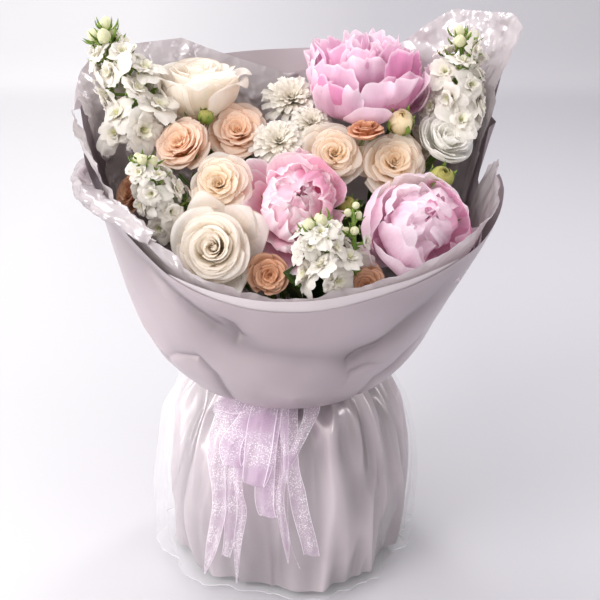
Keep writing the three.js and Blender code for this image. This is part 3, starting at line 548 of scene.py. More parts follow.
OUTER = dict(rows=22, cols=21, tip=1.12, blunt=0.56, edge=0.26, lift=-0.42, frill=0.03, crinkle=0.012, inward=0)
ROSE = flower(
    dict(frill=0.042, folds=0.8),
    (1, 60, [5, -56, 45, -46, 80, -20, 104, -2, 126, -14], dict(OUTER, first=2.6)),
    (1, 60, [5, -56, 45, -46, 78, -22, 100, -6, 118, -20], dict(OUTER, first=3.75)),
    (1, 64, [5, -56, 45, -46, 80, -22, 102, -4, 120, -10], dict(OUTER, frill=0.05, first=4.8)),
    (1, 60, [5, -56, 45, -46, 78, -20, 100, -2, 120, -8], dict(OUTER, first=5.85)),
    (1, 60, [5, -56, 45, -46, 78, -20, 98, -2, 112, -12], dict(OUTER, first=0.6)),
    (1, 58, [5, -56, 45, -46, 76, -20, 96, -2, 110, -14], dict(OUTER, first=1.6)),
    (4, 66, [5, -52, 40, -40, 60, -6, 74, 15, 85, 15],
        dict(rows=16, cols=17, tip=1.4, blunt=0.26, edge=0.1, frill=0.035, loose=1.6, inward=0.1)),
    (4, 62, [5, -46, 35, -34, 49, 2, 59, 25, 69, 28],
        dict(rows=14, cols=15, tip=1.8, folds=0.9, spiral=0.1, loose=1.6)),
    (4, 54, [4, -42, 30, -28, 43, 6, 52, 29, 60, 34],
        dict(rows=14, cols=13, tip=2, blunt=0.14, folds=0.9, spiral=0.1, loose=1.5)),
    (4, 48, [4, -38, 26, -22, 38, 9, 45, 32, 53, 38], dict(folds=0.9, spiral=0.11, loose=1.5)),
    (4, 42, [4, -34, 22, -18, 33, 11, 39, 34, 46, 40], dict(folds=0.9, spiral=0.11, loose=1.5)),
    (4, 36, [3, -30, 19, -14, 28, 12, 34, 35, 40, 41], dict(folds=0.9, spiral=0.12, loose=1.4)),
    (3, 36, [3, -26, 15, -10, 23, 12, 28, 35, 34, 42], dict(folds=0.9, spiral=0.13, loose=1.4)),
    (3, 30, [3, -22, 12, -7, 18, 12, 22, 35, 27, 42], dict(folds=0.9, spiral=0.14, loose=1.3)),
    (3, 23, [2, -18, 8, -4, 13, 12, 16.5, 34, 21, 42], dict(frill=0.02, spiral=0.15, loose=1.3)),
    (3, 17, [2, -14, 5, -2, 9, 12, 11, 33, 15, 41], dict(frill=0.02, folds=2, spiral=0.16)),
    (2, 14, [2, -10, 4, 2, 7, 14, 7, 30, 4, 38], dict(frill=0, folds=2, spiral=0.2)),
    (3, 10, [1, -10, 3, 2, 5, 16, 4, 28, 1, 35], dict(frill=0, folds=2, spiral=0.1)),
)
CUP_ROSE = flower(
    dict(blunt=0.1, frill=0.035, folds=0.8, loose=1.6),
    (4, 90, [8, -88, 58, -76, 88, -34, 98, 2, 116, 14, 126, -4],
        dict(rows=22, cols=23, tip=1.12, blunt=0.5, edge=0.3, frill=0.04, loose=1.4, inward=0, first=-1.75)),
    (4, 80, [7, -84, 52, -70, 78, -26, 88, 18, 104, 34, 116, 24],
        dict(rows=20, cols=21, tip=1.15, blunt=0.44, edge=0.22, frill=0.04, inward=0.1, first=-1.1)),
    (4, 66, [6, -76, 44, -56, 66, -12, 75, 22, 88, 38],
        dict(rows=16, cols=15, tip=1.6, blunt=0.2, edge=0.1, spiral=0.08, loose=1.8)),
    (4, 56, [5, -66, 36, -44, 54, -6, 61, 26, 73, 42],
        dict(rows=14, cols=13, tip=1.8, blunt=0.16, spiral=0.1, loose=1.8)),
    (4, 48, [5, -50, 30, -30, 44, 0, 50, 28, 60, 43], dict(tip=2, blunt=0.14, frill=0.03, spiral=0.1)),
    (3, 46, [4, -40, 22, -20, 34, 4, 39, 30, 47, 44], dict(tip=2.2, blunt=0.12, frill=0.03, spiral=0.12)),
    (3, 36, [3, -30, 15, -10, 24, 8, 28, 31, 35, 44], dict(frill=0.02, spiral=0.14, loose=1.4)),
    (3, 24, [2, -20, 10, -2, 16, 12, 18, 31, 23, 43], dict(frill=0.02, folds=2, spiral=0.16, loose=1)),
    (2, 13, [2, -10, 4, 4, 7, 16, 9, 39], dict(frill=0, folds=2, spiral=0.2, loose=1)),
)
GARDEN = flower(
    dict(frill=0.065, folds=1, loose=2),
    (6, 62, [6, -52, 50, -42, 82, -16, 100, -3, 110, -10],
        dict(rows=14, cols=15, tip=1.3, blunt=0.3, edge=0.14, loose=1.8)),
    (6, 58, [5, -46, 44, -32, 68, -4, 85, 9, 97, 7], dict(rows=14, cols=15, tip=1.4, blunt=0.26, edge=0.1)),
    (6, 52, [5, -40, 37, -24, 55, 6, 71, 20, 84, 20],
        dict(rows=14, cols=13, tip=1.5, blunt=0.22, edge=0.06, spiral=0.05)),
    (6, 46, [4, -34, 29, -18, 43, 11, 58, 27, 71, 29], dict(tip=1.6, blunt=0.2, spiral=0.06)),
    (6, 37, [4, -30, 23, -14, 34, 13, 46, 30, 58, 34], dict(tip=1.8, blunt=0.18, spiral=0.08)),
    (5, 34, [3, -25, 18, -10, 26, 13, 36, 31, 46, 36], dict(tip=2, spiral=0.1)),
    (5, 27, [3, -20, 13, -6, 19, 13, 27, 30, 35, 35], dict(blunt=0.14, spiral=0.12)),
    (4, 22, [2, -16, 8, -3, 12, 12, 18, 27, 24, 33], dict(frill=0.04, folds=0.9, spiral=0.14, loose=1.6)),
    (4, 14, [2, -12, 4, 0, 7, 10, 10, 22, 14, 28], dict(frill=0.04, folds=0.9, spiral=0.16, loose=1)),
    (4, 10, [1, -6, 4, 2, 6, 12, 3, 24], dict(frill=0.03, folds=0.9, spiral=0.1, loose=1)),
)
RUFFLED = flower(
    dict(blunt=0.12, frill=0.045, folds=1, loose=1.6),
    (6, 66, [6, -50, 50, -46, 88, -24, 102, 0, 104, 10], dict(rows=14, cols=15, blunt=0.16)),
    (7, 56, [5, -44, 46, -34, 76, -6, 89, 14, 92, 24], dict(rows=14, cols=13, blunt=0.14, spiral=0.05)),
    (6, 50, [5, -40, 38, -26, 60, 2, 72, 23, 78, 33], dict(frill=0.05, spiral=0.06, loose=1.8)),
    (6, 42, [4, -36, 30, -20, 47, 6, 57, 27, 63, 37], dict(frill=0.05, spiral=0.08, loose=1.8)),
    (6, 34, [4, -30, 23, -14, 35, 8, 43, 29, 48, 39], dict(frill=0.05, spiral=0.1, loose=1.8)),
    (5, 28, [3, -24, 16, -8, 25, 10, 30, 29, 35, 39], dict(spiral=0.12)),
    (4, 20, [2, -18, 10, -4, 15, 12, 19, 28, 22, 37], dict(frill=0.04, folds=2, spiral=0.14, loose=1)),
    (3, 11, [1, -10, 5, 4, 7, 16, 9, 32], dict(blunt=0.16, frill=0.03, folds=2, spiral=0.2, loose=1)),
)
MUM = flower(
    dict(rows=9, cols=5, narrow=0.6, lift=0.7, loose=1.6),
    (19, 11.5, [8, -36, 42, -24, 80, -10, 102, -10, 108, -16], dict(tip=2, lift=0.5)),
    (19, 11.5, [7, -30, 38, -12, 72, 5, 94, 8, 100, 3], dict(tip=2, lift=0.6)),
    (18, 11, [6, -26, 32, -4, 60, 16, 80, 21, 86, 18], dict(tip=2)),
    (17, 10, [5, -20, 24, 2, 46, 23, 63, 31, 70, 31], dict(rows=8, tip=2)),
    (15, 9.5, [4, -16, 17, 6, 33, 26, 47, 37, 53, 38], dict(rows=8)),
    (13, 8.5, [3, -10, 11, 8, 21, 26, 32, 38, 37, 41], dict(rows=7, lift=0.6, loose=1)),
    (10, 7, [2, -4, 6, 10, 11, 26, 19, 39], dict(rows=6, lift=0, loose=1)),
    (5, 5, [1, 0, 3, 12, 4, 26, 6, 39], dict(rows=6, lift=0, loose=1)),
)
PEONY_CUP = flower(
    dict(cols=19, notch=0.08, frill=0.18, folds=1.7, jag=0.1, loose=3.4),
    (1, 46, [5, -56, 50, -56, 86, -50, 108, -32, 114, -6],
        dict(rows=20, tip=1.8, blunt=0.4, notch=0, lift=0.4, frill=0.08, folds=1, jag=0, loose=1,
            crinkle=0.03, inward=0, first=3.7)),
    (2, 44, [5, -60, 50, -60, 80, -46, 94, -20, 98, 4],
        dict(rows=22, cols=21, tip=1.8, blunt=0.4, frill=0.12, folds=1.4, jag=0, loose=3, crinkle=0.05,
            inward=0, first=-1.9)),
    (7, 52, [5, -60, 50, -57, 90, -38, 108, -8, 114, 14, 112, 26],
        dict(rows=24, cols=25, tip=2.2, blunt=0.3, notch=0.12, frill=0.14, folds=1.9, jag=0.05, loose=3,
            crinkle=0.05, inward=0, first=-1)),
    (7, 50, [5, -54, 46, -46, 82, -22, 98, 6, 100, 30, 96, 44],
        dict(rows=22, cols=23, tip=2.2, blunt=0.3, notch=0.1, frill=0.16, folds=1.8, jag=0.04, loose=3,
            crinkle=0.035, inward=0.1)),
    (6, 52, [5, -46, 40, -32, 68, -4, 82, 24, 84, 44, 86, 62],
        dict(rows=20, cols=21, tip=2, blunt=0.3, notch=0.07, frill=0.14, folds=1.5, jag=0.06, crinkle=0.03,
            inward=0.2)),
    (7, 44, [4, -40, 32, -22, 56, 6, 68, 32, 70, 50, 72, 66],
        dict(rows=18, tip=2.2, blunt=0.24, frill=0.16, folds=1.6, jag=0.08, crinkle=0.03, inward=0.4)),
    (7, 40, [4, -30, 25, -14, 42, 10, 53, 34, 55, 56, 54, 70],
        dict(rows=18, tip=2.4, blunt=0.2, inward=0.6)),
    (7, 34, [3, -24, 19, -8, 31, 14, 39, 36, 39, 56, 36, 70], dict(rows=16, cols=17, inward=0.8)),
    (6, 28, [2, -16, 11, 0, 18, 20, 22, 44, 20, 70], dict(rows=14, cols=15, notch=0, loose=3, inward=0.9)),
    (4, 18, [1, -10, 5, 6, 8, 24, 6, 66], dict(cols=11, notch=0, frill=0.15, folds=1.5, loose=2, inward=1)),
)
PEONY_BOWL = flower(
    dict(rows=22, cols=23, frill=0.16, folds=1.4, jag=0.06, loose=4, crinkle=0.04),
    (4, 90, [5, -56, 56, -50, 95, -22, 105, 10, 96, 36],
        dict(rows=24, cols=27, tip=2.2, blunt=0.26, notch=0.05, frill=0.06, folds=1.5, spiral=0.05, jag=0,
            loose=1.6, crinkle=0.03, inward=0)),
    (5, 70, [5, -52, 50, -44, 86, -18, 93, 14, 80, 40],
        dict(tip=2.2, blunt=0.26, notch=0.07, frill=0.1, folds=1.6, spiral=0.06, jag=0.03, loose=2,
            inward=0.2)),
    (6, 50, [5, -42, 42, -30, 72, -2, 78, 26, 58, 48],
        dict(tip=2.2, blunt=0.26, notch=0.1, folds=1.8, jag=0.05, loose=3.4, inward=0.6)),
    (6, 42, [4, -34, 30, -20, 56, 8, 60, 32, 40, 52, 24, 54],
        dict(cols=21, notch=0.1, frill=0.18, folds=1.8, crinkle=0.05, inward=0.8)),
    (6, 44, [4, -24, 20, -8, 40, 14, 42, 34, 20, 50, 8, 50],
        dict(rows=20, cols=19, notch=0.08, crinkle=0.05, inward=0.9)),
    (5, 40, [3, -16, 12, -2, 26, 18, 26, 38, 8, 53],
        dict(rows=18, cols=17, frill=0.17, crinkle=0.05, inward=1)),
    (4, 32, [1, -10, 6, 2, 14, 20, 13, 40, 2, 53],
        dict(rows=16, cols=15, folds=1.3, jag=0.05, loose=3, inward=1)),
)
PEONY_OPEN = flower(
    dict(rows=20, cols=21, tip=2, blunt=0.3),
    (6, 60, [5, -56, 50, -48, 86, -24, 105, 0, 114, 4],
        dict(blunt=0.32, notch=0.06, frill=0.11, folds=1.2, loose=3, crinkle=0.03, inward=0)),
    (6, 50, [5, -50, 46, -40, 76, -12, 93, 14, 100, 26],
        dict(notch=0.07, frill=0.14, folds=1.3, jag=0.05, loose=4, crinkle=0.04, inward=0.1)),
    (6, 46, [5, -44, 42, -34, 70, -4, 80, 24, 72, 44],
        dict(notch=0.08, frill=0.15, folds=1.4, jag=0.06, loose=5, crinkle=0.05, inward=0.4)),
) + PEONY_BOWL[2:]
BUD = flower(
    dict(blunt=0.12, loose=0.3),
    (3, 100, [10, -96, 78, -70, 100, -10, 86, 50, 40, 92], dict(spiral=0.08)),
    (3, 80, [10, -80, 60, -50, 76, 0, 60, 60, 24, 98], dict(spiral=0.1)),
    (2, 50, [5, -60, 40, -30, 48, 20, 34, 70, 10, 100], dict(blunt=0.1, spiral=0.12)),
)

# name: layers, petals, centre, azimuth and elevation that it faces, diameter
HEADS = {
    "peony_1": (PEONY_CUP, "peony", (66, 13.6, 474), (-8, 83), 98),
    "peony_2": (PEONY_OPEN, "blush_peony", (6, -80, 393), (8, 38), 80),
    "peony_3": (PEONY_BOWL, "pale_peony", (109, -92, 377), (12, 38), 91),
    "white_rose_1": (CUP_ROSE, "white_rose", (-76, 9, 474), (10, 89), 71),
    "white_rose_2": (ROSE, "white_rose", (-59, -112, 368), (-6, 28), 79),
    "white_rose_3": (RUFFLED, "pure_white", (136, -28, 435), (24, 50), 49),
    "white_rose_4": (RUFFLED, "white_rose", (113, 8, 418), (4, 44), 40),
    "peach_rose_1": (GARDEN, "peach_rose", (-88, -44, 434), (-30, 46), 47),
    "peach_rose_2": (GARDEN, "peach_rose", (-44, -17.8, 438), (4, 48), 50),
    "peach_rose_3": (GARDEN, "cream_rose", (-54, -74, 409), (-4, 34), 50),
    "peach_rose_4": (GARDEN, "cream_rose", (38.6, -40.8, 424.2), (0, 34), 52),
    "peach_rose_5": (GARDEN, "cream_rose", (89.4, -41.4, 416.8), (4, 36), 54),
    "peach_rose_6": (GARDEN, "deep_peach", (-137, -26, 386), (-50, 30), 36),
    "peach_rose_7": (GARDEN, "deep_peach", (-14, -114, 345), (0, 24), 34),
    "peach_rose_8": (GARDEN, "deep_peach", (66, -42, 446), (-40, 84), 30),
    "peach_rose_9": (GARDEN, "deep_peach", (64, -118, 339), (0, 24), 30),
    "mum_1": (MUM, "mum", (-7, -34.4, 433), (0, 44), 43),
    "mum_2": (MUM, "mum", (3, 20, 458), (0, 52), 48),
    "mum_3": (MUM, "mum", (21, -14, 445), (10, 48), 34),
    "bud_1": (BUD, "green_bud", (-69, -19, 452), (0, 70), 13),
    "bud_2": (BUD, "bud", (96.4, -28.2, 449.3), (0, 50), 21),
    "bud_3": (BUD, "green_bud", (129, -56, 409), (14, 50), 20),
    "bud_4": (BUD, "green_bud", (50, -66, 388), (-5, 60), 15),
}
SEATS = {"peony": -0.58, "white_rose": -0.6, "peach_rose": -0.56, "mum": -0.4}
CUP_SEAT = -0.9
for number, (name, (layers, petals, centre, faces, diameter)) in enumerate(HEADS.items()):
    rng = np.random.default_rng(100 + number)
    family = name.rsplit("_", 1)[0]
    size = diameter / 2
    build = Build(centre, turn_to(facing(*faces)))
    rings(build, size, layers, rng, 0.0 if family == "bud" else 0.07)
    if family == "bud":
        bud_sepals(build, size, rng)
    else:
        calyx(build, size, CUP_SEAT if layers is CUP_ROSE else SEATS[family], rng)
    slot = family + "_petal" if family != "bud" else "bud"
    build.piece(name + "_bloom", [PETALS[petals], SEPAL], slot, [name])

# ---- Stocks ----
# name: foot, tip, diameter, florets, seed, share of the way up where its closed buds begin
STOCKS = {
    "stock_1": ((-116, -13, 430), (-154, 5, 514), 62, 25, 11, 0.86),
    "stock_2": ((-94, -62, 366), (-114, -80, 430), 46, 19, 12, 0.86),
    "stock_3": ((33, -123, 342), (24, -133, 394), 50, 19, 13, 0.86),
    "stock_4": ((55, -113, 355), (52, -119, 405), 26, 8, 14, 0.3),
    "stock_5": ((143, -1, 436), (150, 4, 510), 55, 22, 15, 0.86),
}
BUD_PROFILE = [(0.1, -0.9), (0.7, -0.6), (0.9, 0.0), (0.6, 0.7), (0.1, 1.0)]
# A floret's rings: how many petals, turn from one to the next, the first one's turn and how unevenly
# they turn, then the size, half width and profile of a petal, and its settings
FLORET = [
    (5, 1.26, 0.0, 0.12, 1.16, 0.62, [(0.04, -0.5), (0.1, -0.2), (0.36, 0.04), (0.76, 0.12), (1.0, 0.0)],
        dict(rows=12, cols=13, narrow=0.3, notch=0.1, frill=0.16, folds=1.5, loose=4)),
    (5, 1.26, 0.63, 0.15, 1.0, 0.46, [(0.03, -0.4), (0.1, -0.14), (0.28, 0.12), (0.56, 0.28), (0.76, 0.2)],
        dict(rows=11, cols=11, narrow=0.3, notch=0.08, frill=0.18, folds=1.5, loose=4)),
    (4, 1.57, 0.0, 0.3, 1.0, 0.26, [(0.03, -0.3), (0.08, -0.08), (0.16, 0.14), (0.3, 0.34), (0.4, 0.36)],
        dict(rows=7, cols=7, narrow=0.4, frill=0.1, loose=2.4, inward=0.3)),
    (3, 2.1, 0.3, 0.0, 1.0, 0.1, [(0.02, -0.2), (0.05, 0.0), (0.09, 0.16), (0.13, 0.34)],
        dict(rows=5, cols=4, inward=1.0, frill=0.05)),
]


def tube(build, start, end, wide, narrow, kind=1):
    turn = turn_to(np.subtract(end, start) + [0, 0, 1e-9])
    ring = polar(1, np.linspace(0, TAU, 8, endpoint=False), 0) @ turn.T
    radius = np.linspace(wide, narrow, 6)[:, None, None]
    build.grid(np.linspace(start, end, 6)[:, None] + ring * radius, (0.5, 0, 0), kind, closed=True)


for name, (foot, tip, diameter, count, seed, opens) in STOCKS.items():
    rng = np.random.default_rng(seed)
    foot, tip = np.array(foot, float), np.array(tip, float)
    height, radius = np.linalg.norm(tip - foot), diameter / 2
    spike = turn_to(tip - foot)
    build = Build()
    tube(build, foot, tip, 2.4, 1.2)
    for i in range(count):
        up = i / (count - 1)
        angle = i * GOLDEN_TURN + seed
        size = radius * (0.56 - 0.24 * up)
        tilt = 0.05 + 1.1 * up**1.3
        out = np.array([math.cos(angle) * math.cos(tilt), math.sin(angle) * math.cos(tilt), math.sin(tilt)])
        root = np.array([0, 0, height * (0.1 + 0.82 * up)])
        reach = (radius - 0.25 * size) * (1 - 0.45 * up) * (1 + 0.08 * rng.normal())
        spot = foot + (root + out * reach) @ spike.T
        way = out @ spike.T
        tube(build, foot + root @ spike.T, spot - way * 0.4 * size, 1.0, 1.4)
        build.at, build.turn = spot, turn_to(way + 0.34 * rng.normal(size=3))
        if up > opens:
            for k in range(4):
                petal(build, 0.5 * size + 1.2, BUD_PROFILE, 0.8, k * 1.57, rng, 8, 5, blunt=0.1, inward=0.8)
            calyx(build, 0.6 * size + 1.4, -0.8, rng, 1.9, 0.3)
        else:
            for petals, step, first, uneven, share, half, profile, settings in FLORET:
                for k in range(petals):
                    turn = k * step + first + (rng.normal(0, uneven) if uneven else 0)
                    petal(build, size * share, profile, half, turn, rng, **settings)
            calyx(build, 0.6 * size + 1.0, -0.75, rng, 0.6 + 1.5 * up, 0.2)
        build.at, build.turn = np.zeros(3), np.eye(3)
    build.piece(name + "_spike", [PETALS["stock"], SEPAL], "stock_petal", [name])

# ---- Leaves ----
# joint, tip, share of width to length, arch
LEAVES = [
    (11, -40, 277, 10, -124, 340, 0.44, 0.14),
    (-69, -29, 328, -66, -28, 408, 0.44, 0.14),
    (30, -21, 329, 64, -46, 386, 0.44, 0.14),
    (16, -66, 300, -2, -122, 352, 0.4, 0.1),
    (16, -66, 300, 44, -104, 366, 0.4, 0.1),
    (-36, -44, 321, -92, -86, 352, 0.42, 0.12),
    (-57, -40, 318, -108, -50, 356, 0.42, 0.12),
    (-47, -1, 309, -96, -18, 384, 0.4, 0.1),
    (-33, 22, 336, -40, 4, 420, 0.42, 0.1),
    (-53, 28, 384, -100, 30, 440, 0.42, 0.12),
    (0, -25, 332, -24, -52, 392, 0.4, 0.1),
    (3, 6, 337, 18, -26, 410, 0.4, 0.1),
    (30, -21, 329, 58, -70, 374, 0.4, 0.1),
    (44, 30, 377, 34, 10, 440, 0.4, 0.1),
    (61, -3, 325, 96, -34, 384, 0.4, 0.1),
    (68, -33, 322, 110, -52, 372, 0.4, 0.1),
    (92, -4, 364, 132, -34, 404, 0.4, 0.1),
    (74, 30, 354, 120, 30, 420, 0.42, 0.12),
    (101, 29, 386, 96, 10, 450, 0.4, 0.1),
    (45, -80, 310, 78, -118, 330, 0.42, 0.1),
]
rng = np.random.default_rng(7)
build = Build()
for *ends, share, arch in LEAVES:
    joint, tip = np.reshape(ends, (2, 3)).astype(float)
    along = tip - joint
    length = np.linalg.norm(along)
    side = unit(np.cross(along, [0, -0.7, 0.7]))
    lift = np.cross(side, along) / length
    u = np.linspace(-1, 1, 13)[None, :, None]
    v = np.linspace(0, 1, 25)[:, None, None]
    teeth = 1 + 0.07 * np.abs(np.sin(v * 40)) * np.abs(u) ** 6
    half = share * length / 2 * np.maximum(np.sin(np.pi * v**1.3), 0.02) * teeth
    wave = 0.03 * length * np.sin(v * 9 + rng.random() * 6) * u * np.abs(u)
    points = joint + along * v + lift * arch * length * np.sin(np.pi * v) + side * half * u
    points = points + lift * (0.35 * half * np.abs(u) + wave)
    build.grid(points, (rng.random(), 0, 0))
build.piece("foliage", [LEAF], "stem")

for name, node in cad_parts.items():
    if "stem" in name:
        node.data.materials.clear()
        node.data.materials.append(STEM)
        node.modifiers.new("round", "SUBSURF").render_levels = 2

# ---- Wrap ----
# The wrap sweeps between three outlines, each from the tie to the top edge as distance from the axis
# and height: at the sides, in front and at the back. A sheet's top edge is given as the share of the
# way up at angles in degrees from +X, with the front at 270.
WRAP_SIDE = [
    [19, 241], [60, 234], [98, 225], [126, 244], [145, 288], [160, 340], [172, 400], [186, 456], [216, 530]
]
WRAP_FRONT = [
    [19, 241], [50, 235], [86, 221], [114, 219], [134, 250], [147, 290], [156, 325], [163, 360], [168, 395]
]
WRAP_BACK = [[19, 241], [38, 256], [52, 285], [60, 320], [66, 360], [71, 400], [78, 440], [86, 480], [98, 530]]
BACK_FILM_TOP = [
    [-16, 0.72], [-6, 0.74], [0, 0.85], [12, 0.92], [40, 0.92], [90, 0.9], [140, 0.89], [180, 0.87], [196, 0.8]
]
BACK_TISSUE_TOP = [
    [-8, 0.76], [-3, 0.79], [0, 0.89], [9, 0.97], [20, 0.99], [45, 0.99], [62, 0.9], [90, 0.84], [120, 0.93],
    [150, 0.93], [188, 0.88],
]
FRONT_FILM_TOP = [
    [162, 0.76], [176, 0.82], [190, 0.8], [230, 0.775], [270, 0.78], [300, 0.768], [320, 0.78], [334, 0.8],
    [343, 0.79], [356, 0.7], [378, 0.6],
]
FRONT_TISSUE_TOP = [[176, 0.9], [196, 0.88], [222, 0.83], [270, 0.81], [320, 0.81], [340, 0.83], [350, 0.78]]
SKIRT = [[17.95, 240], [18.15, 231], [42, 221], [80, 203], [107, 164], [124, 88], [123, 0]]
PEONY_SIDE = math.radians(319)  # where the front right peony pushes the wrap out


def wrap_point(angle, t):
    c, s = np.cos(angle), np.sin(angle)
    side = spline(WRAP_SIDE, t)
    ahead = np.where((s < 0)[..., None], spline(WRAP_FRONT, t), spline(WRAP_BACK, t))
    turn = (np.mod(angle, TAU) - PEONY_SIDE) / 0.4
    wide = 1 + 0.18 * np.exp(-(turn**2)) * smooth(t, 0.45, 0.8)
    height = side[..., 1] * c * c + ahead[..., 1] * s * s
    return vectors(side[..., 0] * c * wide, ahead[..., 0] * s * wide, height)


def skirt_point(angle, t):
    profile = spline(SKIRT, t)
    spread = smooth(t, 0.15, 0.5)
    return polar(profile[..., 0], angle, profile[..., 1], 1 + 0.03 * spread, 1 - 0.14 * spread)


def outward(surface, angle, t):
    step = 1e-3
    along = surface(angle + step, t) - surface(angle - step, t)
    up = surface(angle, np.minimum(t + step, 1)) - surface(angle, np.maximum(t - step, 0))
    return unit(np.cross(along, up))


def edge_at(degrees, table):
    return np.interp(degrees, *np.array(table).T)


def off_wrap(degrees, t, relief):
    """Points that stand off the wrap's plain shape by the relief."""
    angle = np.radians(degrees)
    return wrap_point(angle, t) + outward(wrap_point, angle, t) * relief[..., None]


def wrap_grid(first, last, table, inside, columns, rows):
    """Angles, shares of the way up, the top's share, points and the way out, for one sheet of the wrap.
    inside is how far it lies inside the outermost sheet, at the tie and above it."""
    degrees = np.linspace(first, last, columns)[None, :]
    top = edge_at(degrees, table)
    t = top * steps(0, 1, rows) ** 0.75
    degrees, top = degrees + 0 * t, top + 0 * t
    angle = np.radians(degrees)
    way = outward(wrap_point, angle, t)
    deep = inside[0] + (inside[1] - inside[0]) * smooth(t, 0, 0.3)
    return degrees, t, top, wrap_point(angle, t) - way * deep[..., None], way


def crumple(points, coarse, seed, fine=0.45):
    """Creased relief from about -1 to 1 with facets about coarse millimetres wide."""
    moved = bent(points, 0.35 * coarse, points / coarse, seed)
    total, share = 0, 1.0
    for n in range(4):
        ridge = 1 - 2.4 * np.abs(noise(moved / coarse + 7 * n, seed + 10 + n))
        facet = creases(moved / (1.5 * coarse) + 5 * n, seed + 20 + 5 * n)
        total = total + share * (0.55 * ridge - 0.35 * facet)
        coarse, share = coarse * 0.5, share * fine
    return total


def dent(x, y, path, width, sharp):
    """A dent along a path of (degrees, share of the way up, depth), sharp at its middle."""
    points = [(*flat(a, t), d) for a, t, d in path]
    best, deep = np.full(x.shape, 1e9), np.zeros(x.shape)
    for (x0, y0, d0), (x1, y1, d1) in zip(points, points[1:]):
        dx, dy = x1 - x0, y1 - y0
        share = np.clip(((x - x0) * dx + (y - y0) * dy) / (dx * dx + dy * dy), 0, 1)
        away = np.hypot(x - x0 - share * dx, y - y0 - share * dy)
        deep = np.where(away < best, d0 + (d1 - d0) * share, deep)
        best = np.minimum(best, away)
    return deep * np.exp(-((best / width) ** sharp))


def flat(degrees, t):
    """The wrap rolled out flat, in millimetres."""
    return degrees * 2.4, t * 430


def zigzag(phase):
    return np.abs(np.mod(phase, 1) - 0.5) * 4 - 1


def gathers(degrees, t, count, reach, seed):
    """Folds that run up from the tie and fade out at the share reach of the way up."""
    phase = degrees / 360 * count + 0.5 * noise(vectors(degrees / 14, t * 3, 0), seed)
    return zigzag(phase) * np.clip(t / 0.06, 0, 1) * (1 - smooth(t, 0.25 * reach, reach))


def add_sheet(name, points, material, slot, nodes=(), closed=False, relief=0.0):
    """One sheet. relief, from -1 in its valleys to 1 on its ridges, paints shade and light into its colour."""
    build = Build()
    tone = np.repeat((0.5 + 0.5 * np.clip(relief, -1, 1) + 0 * points[..., 0])[..., None], 3, -1)
    build.grid(points, tone, closed=closed)
    build.piece(name, [material], slot, nodes)


# Valleys and creases of the front film: path, width, sharpness. A crease that stands out has a depth
# below 0.
DENTS = [
    ([(216, 0.75, 1.5), (230, 0.735, 4), (242, 0.7, 6), (250, 0.675, 6), (256, 0.66, 2.5)], 17, 1.3),
    ([(251.5, 0.715, 1), (255, 0.7, 3.2), (256.5, 0.67, 4), (255, 0.635, 1)], 5, 1.0),
    ([(312, 0.74, 1), (309, 0.66, 4), (302, 0.6, 5.5), (293, 0.575, 4)], 16, 1.3),
    ([(299, 0.584, 1.5), (293, 0.583, 4), (289.5, 0.566, 4), (289, 0.53, 1)], 4.5, 1.0),
    ([(290, 0.49, 1), (291, 0.525, 3), (296, 0.532, 3), (302, 0.515, 1)], 4, 1.0),
    ([(255, 0.635, 2), (266, 0.62, 3), (277, 0.605, 3), (289, 0.58, 2)], 15, 1.6),
    ([(219, 0.44, 2.5), (229, 0.5, 3), (240, 0.54, 3.5), (245, 0.5, 4), (248, 0.42, 3.5), (250, 0.33, 2)],
        5, 1.0),
    ([(322, 0.5, 2), (312, 0.455, 3.5), (303, 0.45, 3.5), (299, 0.4, 3), (297, 0.33, 2)], 5, 1.0),
    ([(205, 0.6, 0), (214, 0.52, -3), (225, 0.47, -4)], 12, 1.4),
    ([(262, 0.49, 0), (272, 0.47, -2.5), (286, 0.48, 0)], 16, 1.6),
]


def front_relief(degrees, t):
    """How far the front film stands off the wrap's plain shape."""
    points = wrap_point(np.radians(degrees), t)
    top = edge_at(degrees, FRONT_FILM_TOP)
    waves = noise(vectors(degrees / 17, 0, 0), 34)
    relief = 1.6 * noise(points / 70, 31) + 0.5 * noise(points / 24, 32)
    relief = relief + 1.2 * waves * smooth(t, top - 0.1, top)
    pressed = sum(dent(*flat(degrees, t), *settings) for settings in DENTS)
    return relief + 1.6 * gathers(degrees, t, 26, 0.42, 33) - pressed


degrees, t, top, points, way = wrap_grid(162, 378, FRONT_FILM_TOP, (0, 0), 420, 170)
relief = front_relief(degrees, t)
# Painted shade: the front film's colour is lighter where it stands out, darker in its dents and darker towards the
# tie, where it turns under.
add_sheet(
    "front_wrap", points + way * relief[..., None], FILM, "pearl_film", ["front_film"],
    relief=relief / 4 + 0.25 - 0.6 * (1 - smooth(t, 0.3, 0.55)),
)

# A pale band of the film's other side shows inside the rim.
degrees = np.linspace(238, 312, 160)[None, :]
rise = 0.035 * np.sin(math.pi * np.clip((degrees - 238) / 74, 0, 1)) ** 0.7
t = edge_at(degrees, FRONT_FILM_TOP) - 0.06 + (0.06 + rise) * steps(0, 1, 16)
degrees = degrees + 0 * t
relief = front_relief(degrees, t) - 0.9 - 0.4 * noise(vectors(degrees / 7, t * 8, 0), 35)
add_sheet("rim_band", off_wrap(degrees, t, relief), PALE_FILM, "pearl_film")

degrees, t, top, points, way = wrap_grid(190, 350, FRONT_TISSUE_TOP, (1.6, 6), 220, 110)
relief = 0.8 * crumple(points, 34, 41) * smooth(t, 0.05, 0.4)
film_top = edge_at(degrees, FRONT_FILM_TOP)
loose = smooth(t, top - 0.08, top) * (1 + 0.9 * (1 - smooth(degrees, 215, 250)))
relief += loose * (3.6 * crumple(points, 22, 43) + 3.0 * noise(points / 22, 44))
relief = np.minimum(relief, 6 * smooth(t, film_top - 0.01, film_top + 0.06)) + front_relief(degrees, t) - 0.6
add_sheet("front_lining", points + way * relief[..., None], TISSUE, "tissue", ["front_tissue"])

